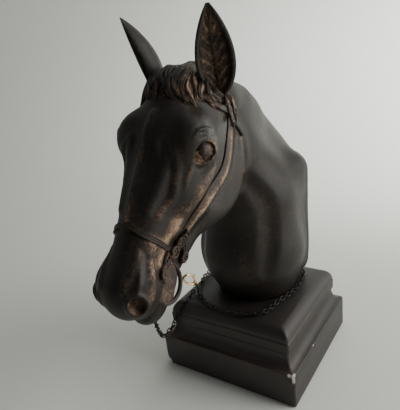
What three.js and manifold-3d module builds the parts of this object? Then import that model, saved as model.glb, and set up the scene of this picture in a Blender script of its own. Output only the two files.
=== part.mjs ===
// Bust of a bridled horse on a square moulded plinth, with a rein chain.
// Units are millimetres, +Z is up, and the horse looks along -Y.
// The origin is the middle of the plinth's underside.
import * as THREE from "three";
import { mergeVertices } from "three/addons/utils/BufferGeometryUtils.js";
import Module from "manifold-3d";

const wasm = await Module();
wasm.setup();

// Driving dimensions of the plinth
const plinthWidth = 130;
const plinthDepth = 127;
const blockHeight = 31;
const coveHeight = 13.5;
const slabHeight = 9.5;
const ovoloHeight = 11;
const slabInset = 7;
const coveUndercut = 1.5;
const ovoloRun = 9.4;
const plinthCornerRadius = 1.6;
const blockLip = 0.8;
const coveShare = 0.96;

// Driving dimensions of the bust, its ears and its bridle
const bustHeight = 241.5;
const seatGap = 0.3;
const fieldCell = 9.3;
const earWall = 2.4;
const strapThickness = 1.4;
const strapSink = 1.8;
const cheekStrapWidth = 11;
const thinStrapWidth = 3;
const bitRingRadius = 13;
const bitRingWire = 2.2;

// Driving dimensions of the chain and its clasp
const linkWire = 1.05;
const linkLength = 6.1;
const linkWidth = 4.1;
const linkOverlap = 0.25;
const chainClearance = 0.6;
const chainSlack = 19;
const chainSideSlack = 12;
const landingLift = 1.5;
const strandSag = 6;
const claspLength = 14;
const claspWidth = 7;
const claspWire = 1.5;

// What follows from them
const slabBottom = blockHeight + coveHeight;
const slabTop = slabBottom + slabHeight;
const plinthTop = slabTop + ovoloHeight;
const seatLevel = plinthTop + seatGap;

// The horse's form is written at its modelled height and scaled from there.
const modelledHeight = 241.5;
const scale = bustHeight / modelledHeight;
const nosePitch = THREE.MathUtils.degToRad(54);
const poll = new THREE.Vector3(0, -72.8, 210.3);
const alongHead = new THREE.Vector3(0, -Math.cos(nosePitch), -Math.sin(nosePitch));
const dorsal = new THREE.Vector3(0, -Math.sin(nosePitch), Math.cos(nosePitch));

// Distance-like fields, negative inside

function ellipsoid(p, centre, radii) {
  const q = [0, 1, 2].map((i) => (p[i] - centre[i]) / radii[i]);
  const k0 = Math.hypot(q[0], q[1], q[2]);
  const k1 = Math.hypot(q[0] / radii[0], q[1] / radii[1], q[2] / radii[2]) + 1e-9;
  return (k0 * (k0 - 1)) / k1;
}

// A round cone from a to b; flat below 1 squeezes it sideways.
function limb(p, a, b, radiusA, radiusB, flat = 1) {
  const d = [(b[0] - a[0]) / flat, b[1] - a[1], b[2] - a[2]];
  const q = [(p[0] - a[0]) / flat, p[1] - a[1], p[2] - a[2]];
  const along = (q[0] * d[0] + q[1] * d[1] + q[2] * d[2]) / (d[0] ** 2 + d[1] ** 2 + d[2] ** 2);
  const t = Math.min(Math.max(along, 0), 1);
  const gap = Math.hypot(q[0] - t * d[0], q[1] - t * d[1], q[2] - t * d[2]);
  return (gap - (radiusA + (radiusB - radiusA) * t)) * Math.min(flat, 1);
}

// A rounded disc in the plane of the profile, half thick to each side.
function disc(p, centre, radius, half, round) {
  const rim = Math.hypot(p[1] - centre[1], p[2] - centre[2]) - radius + round;
  const side = Math.abs(p[0] - centre[0]) - (half - round);
  const outside = Math.hypot(Math.max(rim, 0), Math.max(side, 0));
  return outside + Math.min(Math.max(rim, side), 0) - round;
}

function join(a, b, blend) {
  const h = Math.max(blend - Math.abs(a - b), 0) / blend;
  return Math.min(a, b) - h * h * blend * 0.25;
}

// Head axes: across, along from poll to lips, and out of the face.
function headAxes(x, y, z) {
  const dy = y - poll.y;
  const dz = z - poll.z;
  return [Math.abs(x), dy * alongHead.y + dz * alongHead.z, dy * dorsal.y + dz * dorsal.z];
}

function headField(x, y, z) {
  const p = headAxes(x, y, z);
  let d = ellipsoid(p, [0, 38, -16], [27, 40, 27]);
  d = join(d, ellipsoid(p, [0, 14, -15], [20, 22, 9.5]), 6);
  d = join(d, limb(p, [0, 60, -11], [0, 146, -4], 23.5, 14, 0.95), 12);
  d = join(d, disc(p, [0, 56, -46], 42, 22.5, 13), 14);
  d = join(d, limb(p, [0, 92, -44], [0, 142, -31], 19, 12, 0.85), 14);
  d = join(d, ellipsoid(p, [0, 150, -9], [18.5, 20, 18]), 10);
  d = join(d, ellipsoid(p, [0, 156, -29], [13, 16, 12]), 7);
  d = join(d, ellipsoid(p, [11.5, 149, -2.5], [8, 13, 8.5]), 6);
  d = join(d, ellipsoid(p, [21, 53, 0.5], [12.3, 16, 11.5]), 10);
  d = join(d, ellipsoid(p, [17, 78, -12], [8, 16, 10]), 12);
  d = join(d, ellipsoid(p, [21.3, 58.2, -15.5], [10.3, 10.8, 10.3]), 7);
  d = join(d, limb(p, [20, 72, -24], [13, 106, -20], 3.5, 2), 12);
  return d;
}

function neckField(x, y, z) {
  const p = [Math.abs(x), y, z];
  let d = limb(p, [0, 9, 5], [0, 8, 85], 36, 41);
  d = join(d, ellipsoid(p, [0, 2, 41], [46, 46, 42]), 16);
  d = join(d, limb(p, [24.5, 36, 19], [24, 37, 103], 15, 17), 14);
  d = join(d, limb(p, [0, 10, 85], [0, -35, 170], 42, 24, 0.8), 20);
  d = join(d, limb(p, [0, 42, 118], [0, -6, 172], 22, 17.5, 0.85), 16);
  d = join(d, limb(p, [0, 0, 160], [0, -56, 182], 12, 10, 0.85), 14);
  const rearCut = y - 54;
  return -join(-d, -rearCut, 6);
}

function horseField(x, y, z) {
  return join(headField(x, y, z), neckField(x, y, z), 12);
}

function fieldNormal(field, p, step = 0.5) {
  const n = new THREE.Vector3(
    field(p.x + step, p.y, p.z) - field(p.x - step, p.y, p.z),
    field(p.x, p.y + step, p.z) - field(p.x, p.y - step, p.z),
    field(p.x, p.y, p.z + step) - field(p.x, p.y, p.z - step),
  );
  return n.normalize();
}

function ontoSurface(field, p) {
  const q = p.clone();
  for (let i = 0; i < 6; i += 1) {
    q.addScaledVector(fieldNormal(field, q), -field(q.x, q.y, q.z) * 0.9);
  }
  return q;
}

function fromHead(across, along, out) {
  const p = poll.clone().addScaledVector(alongHead, along).addScaledVector(dorsal, out);
  p.x = across;
  return p;
}

function offset(p, u, alongU, v, alongV) {
  return p.clone().addScaledVector(u, alongU).addScaledVector(v, alongV);
}

// Surface nets: one vertex in each cell that the surface crosses, moved onto it.
function fieldMesh(field, low, high, cell) {
  const count = high.clone().sub(low).divideScalar(cell).ceil().addScalar(1);
  const [nx, ny, nz] = [count.x, count.y, count.z];
  const at = (i, j, k) => (k * ny + j) * nx + i;
  const value = new Float64Array(nx * ny * nz);
  for (let k = 0; k < nz; k += 1) {
    for (let j = 0; j < ny; j += 1) {
      for (let i = 0; i < nx; i += 1) {
        value[at(i, j, k)] = field(low.x + i * cell, low.y + j * cell, low.z + k * cell);
      }
    }
  }
  const corners = [];
  for (let n = 0; n < 8; n += 1) corners.push([n & 1, (n >> 1) & 1, (n >> 2) & 1]);
  const vertexOf = new Map();
  const vertices = [];
  for (let k = 0; k < nz - 1; k += 1) {
    for (let j = 0; j < ny - 1; j += 1) {
      for (let i = 0; i < nx - 1; i += 1) {
        const sum = new THREE.Vector3();
        let crossings = 0;
        for (const a of corners) {
          for (let axis = 0; axis < 3; axis += 1) {
            if (a[axis] === 1) continue;
            const b = [...a];
            b[axis] = 1;
            const va = value[at(i + a[0], j + a[1], k + a[2])];
            const vb = value[at(i + b[0], j + b[1], k + b[2])];
            if (va < 0 === vb < 0) continue;
            const point = new THREE.Vector3(...a);
            point.setComponent(axis, va / (va - vb));
            sum.add(point);
            crossings += 1;
          }
        }
        if (crossings === 0) continue;
        const p = sum.divideScalar(crossings).add(new THREE.Vector3(i, j, k));
        vertexOf.set(at(i, j, k), vertices.length);
        vertices.push(ontoSurface(field, p.multiplyScalar(cell).add(low)));
      }
    }
  }
  const triangles = [];
  const quad = (a, b, c, d, flip) => {
    const ring = [a, b, c, d].map((n) => vertexOf.get(n));
    if (flip) ring.reverse();
    const diagonal = vertices[ring[0]].distanceTo(vertices[ring[2]]);
    const other = vertices[ring[1]].distanceTo(vertices[ring[3]]);
    const [r0, r1, r2, r3] = diagonal <= other ? ring : [ring[1], ring[2], ring[3], ring[0]];
    triangles.push(r0, r1, r2, r0, r2, r3);
  };
  for (let k = 1; k < nz - 1; k += 1) {
    for (let j = 1; j < ny - 1; j += 1) {
      for (let i = 1; i < nx - 1; i += 1) {
        const here = value[at(i, j, k)] < 0;
        if (here !== value[at(i + 1, j, k)] < 0) {
          quad(at(i, j - 1, k - 1), at(i, j, k - 1), at(i, j, k), at(i, j - 1, k), !here);
        }
        if (here !== value[at(i, j + 1, k)] < 0) {
          quad(at(i - 1, j, k - 1), at(i - 1, j, k), at(i, j, k), at(i, j, k - 1), !here);
        }
        if (here !== value[at(i, j, k + 1)] < 0) {
          quad(at(i - 1, j - 1, k), at(i, j - 1, k), at(i, j, k), at(i - 1, j, k), !here);
        }
      }
    }
  }
  return indexed(vertices, triangles);
}

function indexed(vertices, triangles) {
  const geometry = new THREE.BufferGeometry();
  const numbers = vertices.flatMap((v) => v.toArray());
  geometry.setAttribute("position", new THREE.Float32BufferAttribute(numbers, 3));
  geometry.setIndex(triangles);
  return geometry;
}

// A closed skin over rings of equal length, with a fan over each end.
function loft(rings) {
  const size = rings[0].length;
  const vertices = rings.flat();
  const triangles = [];
  for (let r = 0; r < rings.length - 1; r += 1) {
    for (let i = 0; i < size; i += 1) {
      const a = r * size + i;
      const b = r * size + ((i + 1) % size);
      triangles.push(a, b, b + size, a, b + size, a + size);
    }
  }
  const middle = (ring) => ring.reduce((sum, v) => sum.add(v), new THREE.Vector3()).divideScalar(size);
  const first = vertices.length;
  vertices.push(middle(rings[0]), middle(rings.at(-1)));
  const top = (rings.length - 1) * size;
  for (let i = 0; i < size; i += 1) {
    const j = (i + 1) % size;
    triangles.push(first, j, i);
    triangles.push(first + 1, top + i, top + j);
  }
  return indexed(vertices, triangles);
}

// A closed tube along a ring of points, such as one link.
function closedTube(path, radius, sides, up) {
  const rings = path.map((p, i) => {
    const before = path[(i + path.length - 1) % path.length];
    const after = path[(i + 1) % path.length];
    const tangent = after.clone().sub(before).normalize();
    const out = new THREE.Vector3().crossVectors(tangent, up).normalize();
    return Array.from({ length: sides }, (_, s) => {
      const angle = (2 * Math.PI * (s + 0.5)) / sides;
      return offset(p, out, radius * Math.cos(angle), up, radius * Math.sin(angle));
    });
  });
  return closedRings(rings);
}

// A skin round rings that follow each other in a circle.
function closedRings(rings) {
  const sides = rings[0].length;
  const triangles = [];
  for (let r = 0; r < rings.length; r += 1) {
    for (let s = 0; s < sides; s += 1) {
      const a = r * sides + s;
      const b = r * sides + ((s + 1) % sides);
      const c = ((r + 1) % rings.length) * sides + ((s + 1) % sides);
      const d = ((r + 1) % rings.length) * sides + s;
      triangles.push(a, c, b, a, d, c);
    }
  }
  return indexed(rings.flat(), triangles);
}

function solid(geometry) {
  const plain = geometry.clone();
  plain.deleteAttribute("normal");
  plain.deleteAttribute("uv");
  const merged = mergeVertices(plain, 1e-4);
  const made = new wasm.Manifold(new wasm.Mesh({
    numProp: 3,
    vertProperties: new Float32Array(merged.attributes.position.array),
    triVerts: new Uint32Array(merged.index.array),
  }));
  if (made.volume() > 0) return made;
  const turned = Array.from(merged.index.array).reverse();
  return new wasm.Manifold(new wasm.Mesh({
    numProp: 3,
    vertProperties: new Float32Array(merged.attributes.position.array),
    triVerts: new Uint32Array(turned),
  }));
}

function unite(parts) {
  return parts.reduce((sum, part) => sum.add(part));
}

function geometryOf(made) {
  const mesh = made.getMesh();
  const geometry = new THREE.BufferGeometry();
  geometry.setAttribute("position", new THREE.BufferAttribute(new Float32Array(mesh.vertProperties), 3));
  geometry.setIndex(new THREE.BufferAttribute(new Uint32Array(mesh.triVerts), 1));
  geometry.computeVertexNormals();
  return geometry;
}

// The plinth: rounded square rings up its moulded profile.

function squareRing(inset, level) {
  const radius = plinthCornerRadius;
  const steps = 2;
  const ring = [];
  const signs = [[1, 1], [-1, 1], [-1, -1], [1, -1]];
  signs.forEach(([sx, sy], corner) => {
    const cx = sx * (plinthWidth / 2 - inset - radius);
    const cy = sy * (plinthDepth / 2 - inset - radius);
    for (let i = 0; i <= steps; i += 1) {
      const angle = (Math.PI / 2) * (corner + i / steps);
      ring.push(new THREE.Vector3(cx + radius * Math.cos(angle), cy + radius * Math.sin(angle), level));
    }
  });
  return ring;
}

function plinthGeometry() {
  const rings = [squareRing(0, 0), squareRing(0, blockHeight)];
  const coveRun = slabInset + coveUndercut;
  const coveSteps = 5;
  for (let i = 0; i <= coveSteps; i += 1) {
    const angle = (Math.PI / 2) * (i / coveSteps);
    const lip = i === 0 ? blockLip : 0;
    const rise = coveShare * coveHeight * (1 - Math.cos(angle));
    rings.push(squareRing(coveRun * Math.sin(angle) + lip, blockHeight + rise));
  }
  rings.push(squareRing(slabInset, slabBottom), squareRing(slabInset, slabTop));
  const ovoloSteps = 4;
  for (let i = 1; i <= ovoloSteps; i += 1) {
    const angle = (Math.PI / 2) * (i / ovoloSteps);
    const inset = slabInset + ovoloRun * (1 - Math.cos(angle));
    rings.push(squareRing(inset, slabTop + ovoloHeight * Math.sin(angle)));
  }
  return loft(rings);
}

// An ear: a pointed leaf, hollow on the side that it opens to.

function earSolid(side) {
  const base = new THREE.Vector3((side > 0 ? 25 : 22.5) * side, -68, 186.7);
  const tip = new THREE.Vector3(31.5 * side, -84, 243);
  const earHalf = side > 0 ? 12.4 : 13.6;
  const length = base.distanceTo(tip);
  const rise = tip.clone().sub(base).normalize();
  const openAngle = THREE.MathUtils.degToRad(side > 0 ? -50 : -130);
  const open = new THREE.Vector3(Math.cos(openAngle), Math.sin(openAngle), 0);
  open.addScaledVector(rise, -open.dot(rise)).normalize();
  const across = new THREE.Vector3().crossVectors(rise, open);
  const ring = (t, half, depth, wall) => {
    const centre = base.clone().addScaledVector(rise, t * length);
    const points = [];
    const arcSteps = 6;
    for (let i = 0; i <= arcSteps; i += 1) {
      const angle = Math.PI * (i / arcSteps);
      points.push([half * Math.cos(angle), -depth * Math.sin(angle) + 4]);
    }
    for (let i = 1; i < 4; i += 1) {
      const angle = Math.PI * (1 - i / 4);
      points.push([(half - wall) * Math.cos(angle), -(depth - wall) * Math.sin(angle) + 4]);
    }
    return points.map(([a, o]) => centre.clone().addScaledVector(across, a).addScaledVector(open, o));
  };
  const rings = [];
  const steps = 8;
  for (let i = 0; i <= steps; i += 1) {
    const t = -0.12 + 1.1 * (i / steps);
    const s = Math.min(Math.max(t, 0.02), 0.97);
    const half = Math.max(earHalf * ((s ** 0.75 * (1 - s) ** 1.15) / 0.2796), 1.2);
    rings.push(ring(t, half, half * 0.95, Math.min(earWall, half * 0.6)));
  }
  return solid(loft(rings));
}

// A lock of hair: a tapering tube that follows the head.

function lockSolid(points, radius, raise = 0) {
  return lockAlong(points.map(([across, along, out]) => fromHead(across, along, out)), radius, raise);
}

function lockAlong(points, radius, raise) {
  const curve = new THREE.CatmullRomCurve3(points.map((p) => ontoSurface(horseField, p)));
  const steps = 4;
  const sides = 4;
  const rings = [];
  for (let i = 0; i <= steps; i += 1) {
    const t = i / steps;
    const p = curve.getPointAt(t);
    const tangent = curve.getTangentAt(t);
    const up = fieldNormal(horseField, p);
    const out = new THREE.Vector3().crossVectors(tangent, up).normalize();
    const r = radius * Math.max(Math.sin(Math.PI * (0.16 + 0.8 * t)), 0.12);
    const centre = p.clone().addScaledVector(up, raise);
    rings.push(Array.from({ length: sides }, (_, s) => {
      const angle = (2 * Math.PI * s) / sides;
      return offset(centre, out, r * Math.cos(angle), up, r * Math.sin(angle));
    }));
  }
  return solid(loft(rings));
}

function forelock() {
  const locks = [];
  const count = 9;
  for (let i = 0; i < count; i += 1) {
    const spread = (i / (count - 1)) * 2 - 1;
    const start = 9 * spread;
    const end = 23 * spread;
    const wave = i % 2 === 0 ? 1.5 : -1.5;
    const reach = 33 - 3 * Math.abs(spread) + (i % 3) * 2.5;
    locks.push(lockSolid([
      [start, -1, -5],
      [start + (end - start) * 0.35 + wave, 10, 0],
      [start + (end - start) * 0.75 - wave, 20, 8],
      [end, reach, 8],
    ], 4.2, -0.4));
  }
  return locks;
}

// The mane falls on the horse's right, in locks down the neck.
function mane() {
  const locks = [];
  const count = 6;
  for (let i = 0; i < count; i += 1) {
    const t = (i + 0.5) / count;
    const y = -58 + 96 * t;
    const z = 199 - 66 * t ** 1.6;
    const fall = 46 - 6 * Math.abs(2 * t - 1);
    const path = [
      new THREE.Vector3(-6, y, z),
      new THREE.Vector3(-12, y + 2, z - fall * 0.25),
      new THREE.Vector3(-22, y + 1, z - fall * 0.6),
      new THREE.Vector3(-27, y + 6, z - fall),
    ];
    locks.push(lockAlong(path, 7.5, -2.5));
  }
  return locks;
}

// A strap cast in relief, flat on the horse's surface.

function strapSolid(points, width, lift = strapThickness) {
  const path = points.map(([across, along, out]) => ontoSurface(horseField, fromHead(across, along, out)));
  const curve = new THREE.CatmullRomCurve3(path);
  const steps = Math.max(3, Math.ceil(curve.getLength() / 11));
  const rings = [];
  for (let i = 0; i <= steps; i += 1) {
    const t = i / steps;
    const p = ontoSurface(horseField, curve.getPointAt(t));
    const up = fieldNormal(horseField, p);
    const out = new THREE.Vector3().crossVectors(curve.getTangentAt(t), up).normalize();
    const corner = (a, b) => p.clone().addScaledVector(out, a * width * 0.5).addScaledVector(up, b);
    rings.push([corner(1, -strapSink), corner(0.8, lift), corner(-0.8, lift), corner(-1, -strapSink)]);
  }
  return solid(loft(rings));
}

function ringSolid(centre, facing, radius, wire, segments = 8) {
  const up = facing.clone().normalize();
  const u = new THREE.Vector3(0, 1, 0).addScaledVector(up, -up.y).normalize();
  const v = new THREE.Vector3().crossVectors(up, u);
  const path = Array.from({ length: segments }, (_, i) => {
    const angle = (2 * Math.PI * i) / segments;
    return offset(centre, u, radius * Math.cos(angle), v, radius * Math.sin(angle));
  });
  return solid(closedTube(path, wire, 4, up));
}

const bitAlong = 142;
const bitOut = -27;
const bitAcross = 13.5;

function bridle() {
  const parts = [strapSolid([
    [13, 119, -29], [16, 120, -7], [13, 118, 4], [0, 116, 11],
    [-13, 118, 4], [-16, 120, -7], [-13, 119, -29],
  ], thinStrapWidth)];
  for (const side of [1, -1]) {
    parts.push(strapSolid([
      [24 * side, 19, -37], [22.7 * side, 37, -50.5], [22.5 * side, 58, -51],
      [22.9 * side, 78.6, -40], [19.2 * side, 95, -34], [13 * side, 115, -30],
    ], cheekStrapWidth));
    parts.push(strapSolid([
      [20 * side, 24, 2], [26 * side, 25.5, -15], [24 * side, 20, -34],
    ], thinStrapWidth));
    const knot = ontoSurface(horseField, fromHead(23.5 * side, 22, -33));
    parts.push(ringSolid(knot, fieldNormal(horseField, knot), 1.8, 2, 6));
    const buckle = ontoSurface(horseField, fromHead(12.5 * side, 118, -30));
    parts.push(ringSolid(buckle, fieldNormal(horseField, buckle), 4, 1.8, 8));
    const ring = ontoSurface(horseField, fromHead(bitAcross * side, bitAlong, bitOut));
    parts.push(ringSolid(ring, fieldNormal(horseField, ring), bitRingRadius, bitRingWire));
    parts.push(strapSolid([
      [16 * side, 124, -22], [16 * side, 133, -19], [17 * side, 140, -12],
    ], 4, 2.2));
  }
  return parts;
}

function nostrilSolid(side) {
  const hollow = new THREE.SphereGeometry(1, 8, 6);
  hollow.scale(4.5, 7, 5);
  const place = ontoSurface(horseField, fromHead(10.5 * side, 158, -1));
  hollow.rotateX(nosePitch);
  hollow.translate(place.x + 0.5 * side, place.y, place.z);
  return solid(hollow);
}

function bustSolid() {
  const low = new THREE.Vector3(-62, -195, -44);
  const high = new THREE.Vector3(60, 70, 225);
  const form = solid(fieldMesh(horseField, low, high, fieldCell));
  const parts = [form, earSolid(1), earSolid(-1), ...forelock(), ...mane(), ...bridle()];
  const base = new THREE.BoxGeometry(200, 300, 60);
  base.translate(0, 0, -30);
  let whole = unite(parts).subtract(solid(base));
  for (const side of [1, -1]) whole = whole.subtract(nostrilSolid(side));
  return whole.scale([scale, scale, scale]).translate([0, 0, seatLevel]);
}

// Places on the bust, in the part's frame

function placed(point) {
  return point.clone().multiplyScalar(scale).add(new THREE.Vector3(0, 0, seatLevel));
}

function neckReach(angle, level) {
  let reach = 0;
  const step = 0.5;
  const centre = 8;
  while (horseField(reach * Math.cos(angle), centre + reach * Math.sin(angle), level) < 0) reach += step;
  return reach * scale;
}

// The chain: links set along a route, each turned a quarter from the last.

function chainRoute() {
  const lie = plinthTop + chainClearance + linkWidth * 0.38 + linkWire * 0.3;
  const centre = new THREE.Vector3(0, 8 * scale, lie);
  const points = [];
  const claspEnd = claspPlace().addScaledVector(claspRun, claspLength / 2 + linkLength * 0.75);
  points.push(claspEnd);
  const startAngle = THREE.MathUtils.degToRad(222);
  const slackEnd = THREE.MathUtils.degToRad(298);
  const tightStart = THREE.MathUtils.degToRad(342);
  const tightEnd = THREE.MathUtils.degToRad(500);
  const sideSlackStart = THREE.MathUtils.degToRad(560);
  const turns = 17;
  const around = (angle) => {
    const slack = chainSlack * (1 - THREE.MathUtils.smoothstep(angle, slackEnd, tightStart));
    const sideSlack = chainSideSlack * THREE.MathUtils.smoothstep(angle, tightEnd, sideSlackStart);
    const reach = neckReach(angle, 4 / scale) + linkWidth * 0.62 + 1.2 + slack + sideSlack;
    const p = new THREE.Vector3(reach * Math.cos(angle), reach * Math.sin(angle), 0);
    return p.add(centre);
  };
  const first = around(startAngle);
  first.z += landingLift;
  for (const t of [0.33, 0.66, 0.92]) {
    const p = claspEnd.clone().lerp(first, t);
    p.z = Math.max(p.z - strandSag * Math.sin(Math.PI * t), lie + landingLift);
    points.push(p);
  }
  points.push(first);
  for (let i = 1; i <= turns; i += 1) {
    points.push(around(startAngle + (2 * Math.PI * 0.93 * i) / turns));
  }
  const clear = linkWidth * 0.5 + chainClearance;
  const slabX = -(plinthWidth / 2 - slabInset) - clear;
  const slabY = -(plinthDepth / 2 - slabInset);
  const overEdge = slabTop + ovoloHeight * 0.75 + clear;
  points.push(new THREE.Vector3(slabX + ovoloRun * 0.45, slabY + 26, overEdge));
  points.push(new THREE.Vector3(slabX, slabY + 12, slabTop + clear));
  points.push(new THREE.Vector3(slabX - 1.5, slabY - 1, slabBottom + slabHeight * 0.3));
  const hold = placed(ringHold(-1)).addScaledVector(claspRun, linkLength);
  const corner = new THREE.Vector3(-plinthWidth / 2 + 0.5, -plinthDepth / 2 - 3.5, blockHeight + clear + 1);
  points.push(corner);
  for (const t of [0.3, 0.65]) {
    const p = corner.clone().lerp(hold, t);
    p.z -= 10 * Math.sin(Math.PI * t);
    points.push(p);
  }
  points.push(hold);
  return new THREE.CatmullRomCurve3(points, false, "centripetal");
}

// The point just behind a bit ring, on the side towards the neck.
function ringHold(side) {
  const ring = ontoSurface(horseField, fromHead(bitAcross * side, bitAlong, bitOut));
  const normal = fieldNormal(horseField, ring);
  const back = dorsal.clone().addScaledVector(normal, -dorsal.dot(normal)).normalize();
  return ring.addScaledVector(back, -bitRingRadius - bitRingWire / 2 - claspWire);
}

// The clasp hangs from the left ring, along the strand that it holds.
const claspRun = new THREE.Vector3(0.085, 0.627, -0.768).normalize();
const claspSpread = new THREE.Vector3(0.51, 0.63, 0.57).normalize();

function claspPlace() {
  return placed(ringHold(1)).addScaledVector(claspRun, claspLength / 2);
}

function linkSolid(centre, tangent, roll) {
  const rail = linkLength / 2 - linkWire / 2;
  const side = linkWidth / 2 - linkWire / 2;
  const reference = Math.abs(tangent.z) > 0.9 ? new THREE.Vector3(1, 0, 0) : new THREE.Vector3(0, 0, 1);
  const flatSide = new THREE.Vector3().crossVectors(reference, tangent).normalize();
  const up = new THREE.Vector3().crossVectors(tangent, flatSide);
  flatSide.applyAxisAngle(tangent, roll);
  up.applyAxisAngle(tangent, roll);
  const half = linkWire / 2;
  const corners = [[1, 1], [-1, 1], [-1, -1], [1, -1]];
  const rings = corners.map(([a, b]) => {
    const at = (grow, lift) => centre.clone()
      .addScaledVector(tangent, a * (rail + grow))
      .addScaledVector(flatSide, b * (side + grow))
      .addScaledVector(up, lift);
    return [at(-half, 0), at(half, half), at(half, -half)];
  });
  return solid(closedRings(rings));
}

function chainSolid() {
  const route = chainRoute();
  const pitch = linkLength - 2 * linkWire + linkOverlap;
  const count = Math.floor(route.getLength() / pitch);
  route.arcLengthDivisions = 1200;
  route.updateArcLengths();
  const links = [];
  for (let i = 0; i <= count; i += 1) {
    const t = i / count;
    const roll = Math.PI / 4 + (i % 2) * (Math.PI / 2);
    links.push(linkSolid(route.getPointAt(t), route.getTangentAt(t), roll));
  }
  return unite(links);
}

function claspSolid() {
  const centre = claspPlace();
  const rise = claspLength / 2 - claspWidth / 2;
  const path = [];
  const arcSteps = 4;
  for (const end of [1, -1]) {
    for (let i = 0; i <= arcSteps; i += 1) {
      const angle = Math.PI * (i / arcSteps) + (end > 0 ? 0 : Math.PI);
      const across = (claspWidth / 2) * Math.cos(angle);
      const high = (claspWidth / 2) * Math.sin(angle) + end * rise;
      path.push(offset(centre, claspSpread, across, claspRun, high));
    }
  }
  const facing = new THREE.Vector3().crossVectors(claspRun, claspSpread).normalize();
  return solid(closedTube(path, claspWire / 2, 6, facing));
}

const castResin = new THREE.MeshStandardMaterial({ color: "#37332f", roughness: 0.45, metalness: 0.05 });
const plinthResin = new THREE.MeshStandardMaterial({ color: "#3b3835", roughness: 0.5, metalness: 0.05 });
const blackMetal = new THREE.MeshStandardMaterial({ color: "#1c1c1e", roughness: 0.35, metalness: 0.9 });
const goldMetal = new THREE.MeshStandardMaterial({ color: "#d9b25c", roughness: 0.3, metalness: 1 });

function named(name, geometry, material) {
  const mesh = new THREE.Mesh(geometry, material);
  mesh.name = name;
  return mesh;
}

const statue = new THREE.Group();
statue.add(named("plinth", plinthGeometry(), plinthResin));
statue.add(named("horse_bust", geometryOf(bustSolid()), castResin));
statue.add(named("rein_chain", geometryOf(chainSolid()), blackMetal));
statue.add(named("rein_clasp", geometryOf(claspSolid()), goldMetal));

export default statue;
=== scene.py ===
# Looks for the bridled horse bust: its fine carving, the chain's separate links,
# the chipped plinth, and the finish of every surface. Lengths are in millimetres in
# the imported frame, and become metres when a mesh is made.
import math

import bpy
import numpy as np
from mathutils import Matrix, Vector


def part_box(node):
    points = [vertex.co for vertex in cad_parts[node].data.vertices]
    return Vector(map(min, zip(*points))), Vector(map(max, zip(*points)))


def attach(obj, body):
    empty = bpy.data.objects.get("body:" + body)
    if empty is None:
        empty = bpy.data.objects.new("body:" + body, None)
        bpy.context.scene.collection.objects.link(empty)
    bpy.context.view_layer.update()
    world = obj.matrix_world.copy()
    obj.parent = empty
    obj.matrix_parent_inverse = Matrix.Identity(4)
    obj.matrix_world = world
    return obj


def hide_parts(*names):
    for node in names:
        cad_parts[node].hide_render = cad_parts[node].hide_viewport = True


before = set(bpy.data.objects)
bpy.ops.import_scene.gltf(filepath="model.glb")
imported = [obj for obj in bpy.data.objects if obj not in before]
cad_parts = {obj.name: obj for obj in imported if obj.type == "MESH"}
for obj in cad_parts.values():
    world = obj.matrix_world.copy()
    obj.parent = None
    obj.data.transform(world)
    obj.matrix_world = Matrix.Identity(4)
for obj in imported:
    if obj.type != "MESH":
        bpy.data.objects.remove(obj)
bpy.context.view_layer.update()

MM = 0.001


def unit(vector):
    return vector / np.linalg.norm(vector)


def flatten(vector, normal):
    """What is left of a vector without its part along the normal."""
    return vector - normal * np.dot(vector, normal)


plinth_low, plinth_high = [np.array(c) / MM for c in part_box("plinth")]
bust_low, bust_high = [np.array(c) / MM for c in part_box("horse_bust")]

# Sizes shared with the part
BLOCK_HEIGHT = 31.0
COVE_HEIGHT = 13.5
SLAB_HEIGHT = 9.5
SLAB_INSET = 7.0
COVE_UNDERCUT = 1.5
OVOLO_RUN = 9.4
SLAB_BOTTOM = BLOCK_HEIGHT + COVE_HEIGHT
SLAB_TOP = SLAB_BOTTOM + SLAB_HEIGHT
PLINTH_TOP = plinth_high[2]
SEAT = bust_low[2]
LINK_WIRE = 1.05
LINK_LENGTH = 6.1
LINK_WIDTH = 4.1
CLASP_LENGTH = 14.0
CLASP_WIDTH = 7.0
BIT_RADIUS = 13.0
BIT_WIRE = 3.0
CLASP_WIRE = 1.5
CLASP_RUN = unit(np.array([0.085, 0.627, -0.768]))
CLASP_SPREAD = unit(np.array([0.51, 0.63, 0.57]))

# Head axes: across, along the face from the poll, and out of the face
NOSE_PITCH = math.radians(54)
POLL = np.array([0.0, -72.8, SEAT + 210.3])
ALONG = np.array([0.0, -math.cos(NOSE_PITCH), -math.sin(NOSE_PITCH)])
OUT = np.array([0.0, -math.sin(NOSE_PITCH), math.cos(NOSE_PITCH)])
ACROSS = np.array([1.0, 0.0, 0.0])


def from_head(points):
    points = np.atleast_2d(np.asarray(points, float))
    return POLL + points[:, :1] * ACROSS + points[:, 1:2] * ALONG + points[:, 2:3] * OUT


# Fields, negative inside


def ellipsoid(p, centre, radii):
    q = [(p[i] - centre[i]) / radii[i] for i in range(3)]
    k0 = np.sqrt(q[0] ** 2 + q[1] ** 2 + q[2] ** 2)
    k1 = np.sqrt(sum((q[i] / radii[i]) ** 2 for i in range(3))) + 1e-9
    return k0 * (k0 - 1) / k1


def limb(p, a, b, radius_a, radius_b, flat=1.0):
    d = [(b[0] - a[0]) / flat, b[1] - a[1], b[2] - a[2]]
    q = [(p[0] - a[0]) / flat, p[1] - a[1], p[2] - a[2]]
    length = d[0] ** 2 + d[1] ** 2 + d[2] ** 2 + 1e-9
    t = np.clip((q[0] * d[0] + q[1] * d[1] + q[2] * d[2]) / length, 0, 1)
    gap = np.sqrt((q[0] - t * d[0]) ** 2 + (q[1] - t * d[1]) ** 2 + (q[2] - t * d[2]) ** 2)
    return (gap - (radius_a + (radius_b - radius_a) * t)) * min(flat, 1)


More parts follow.
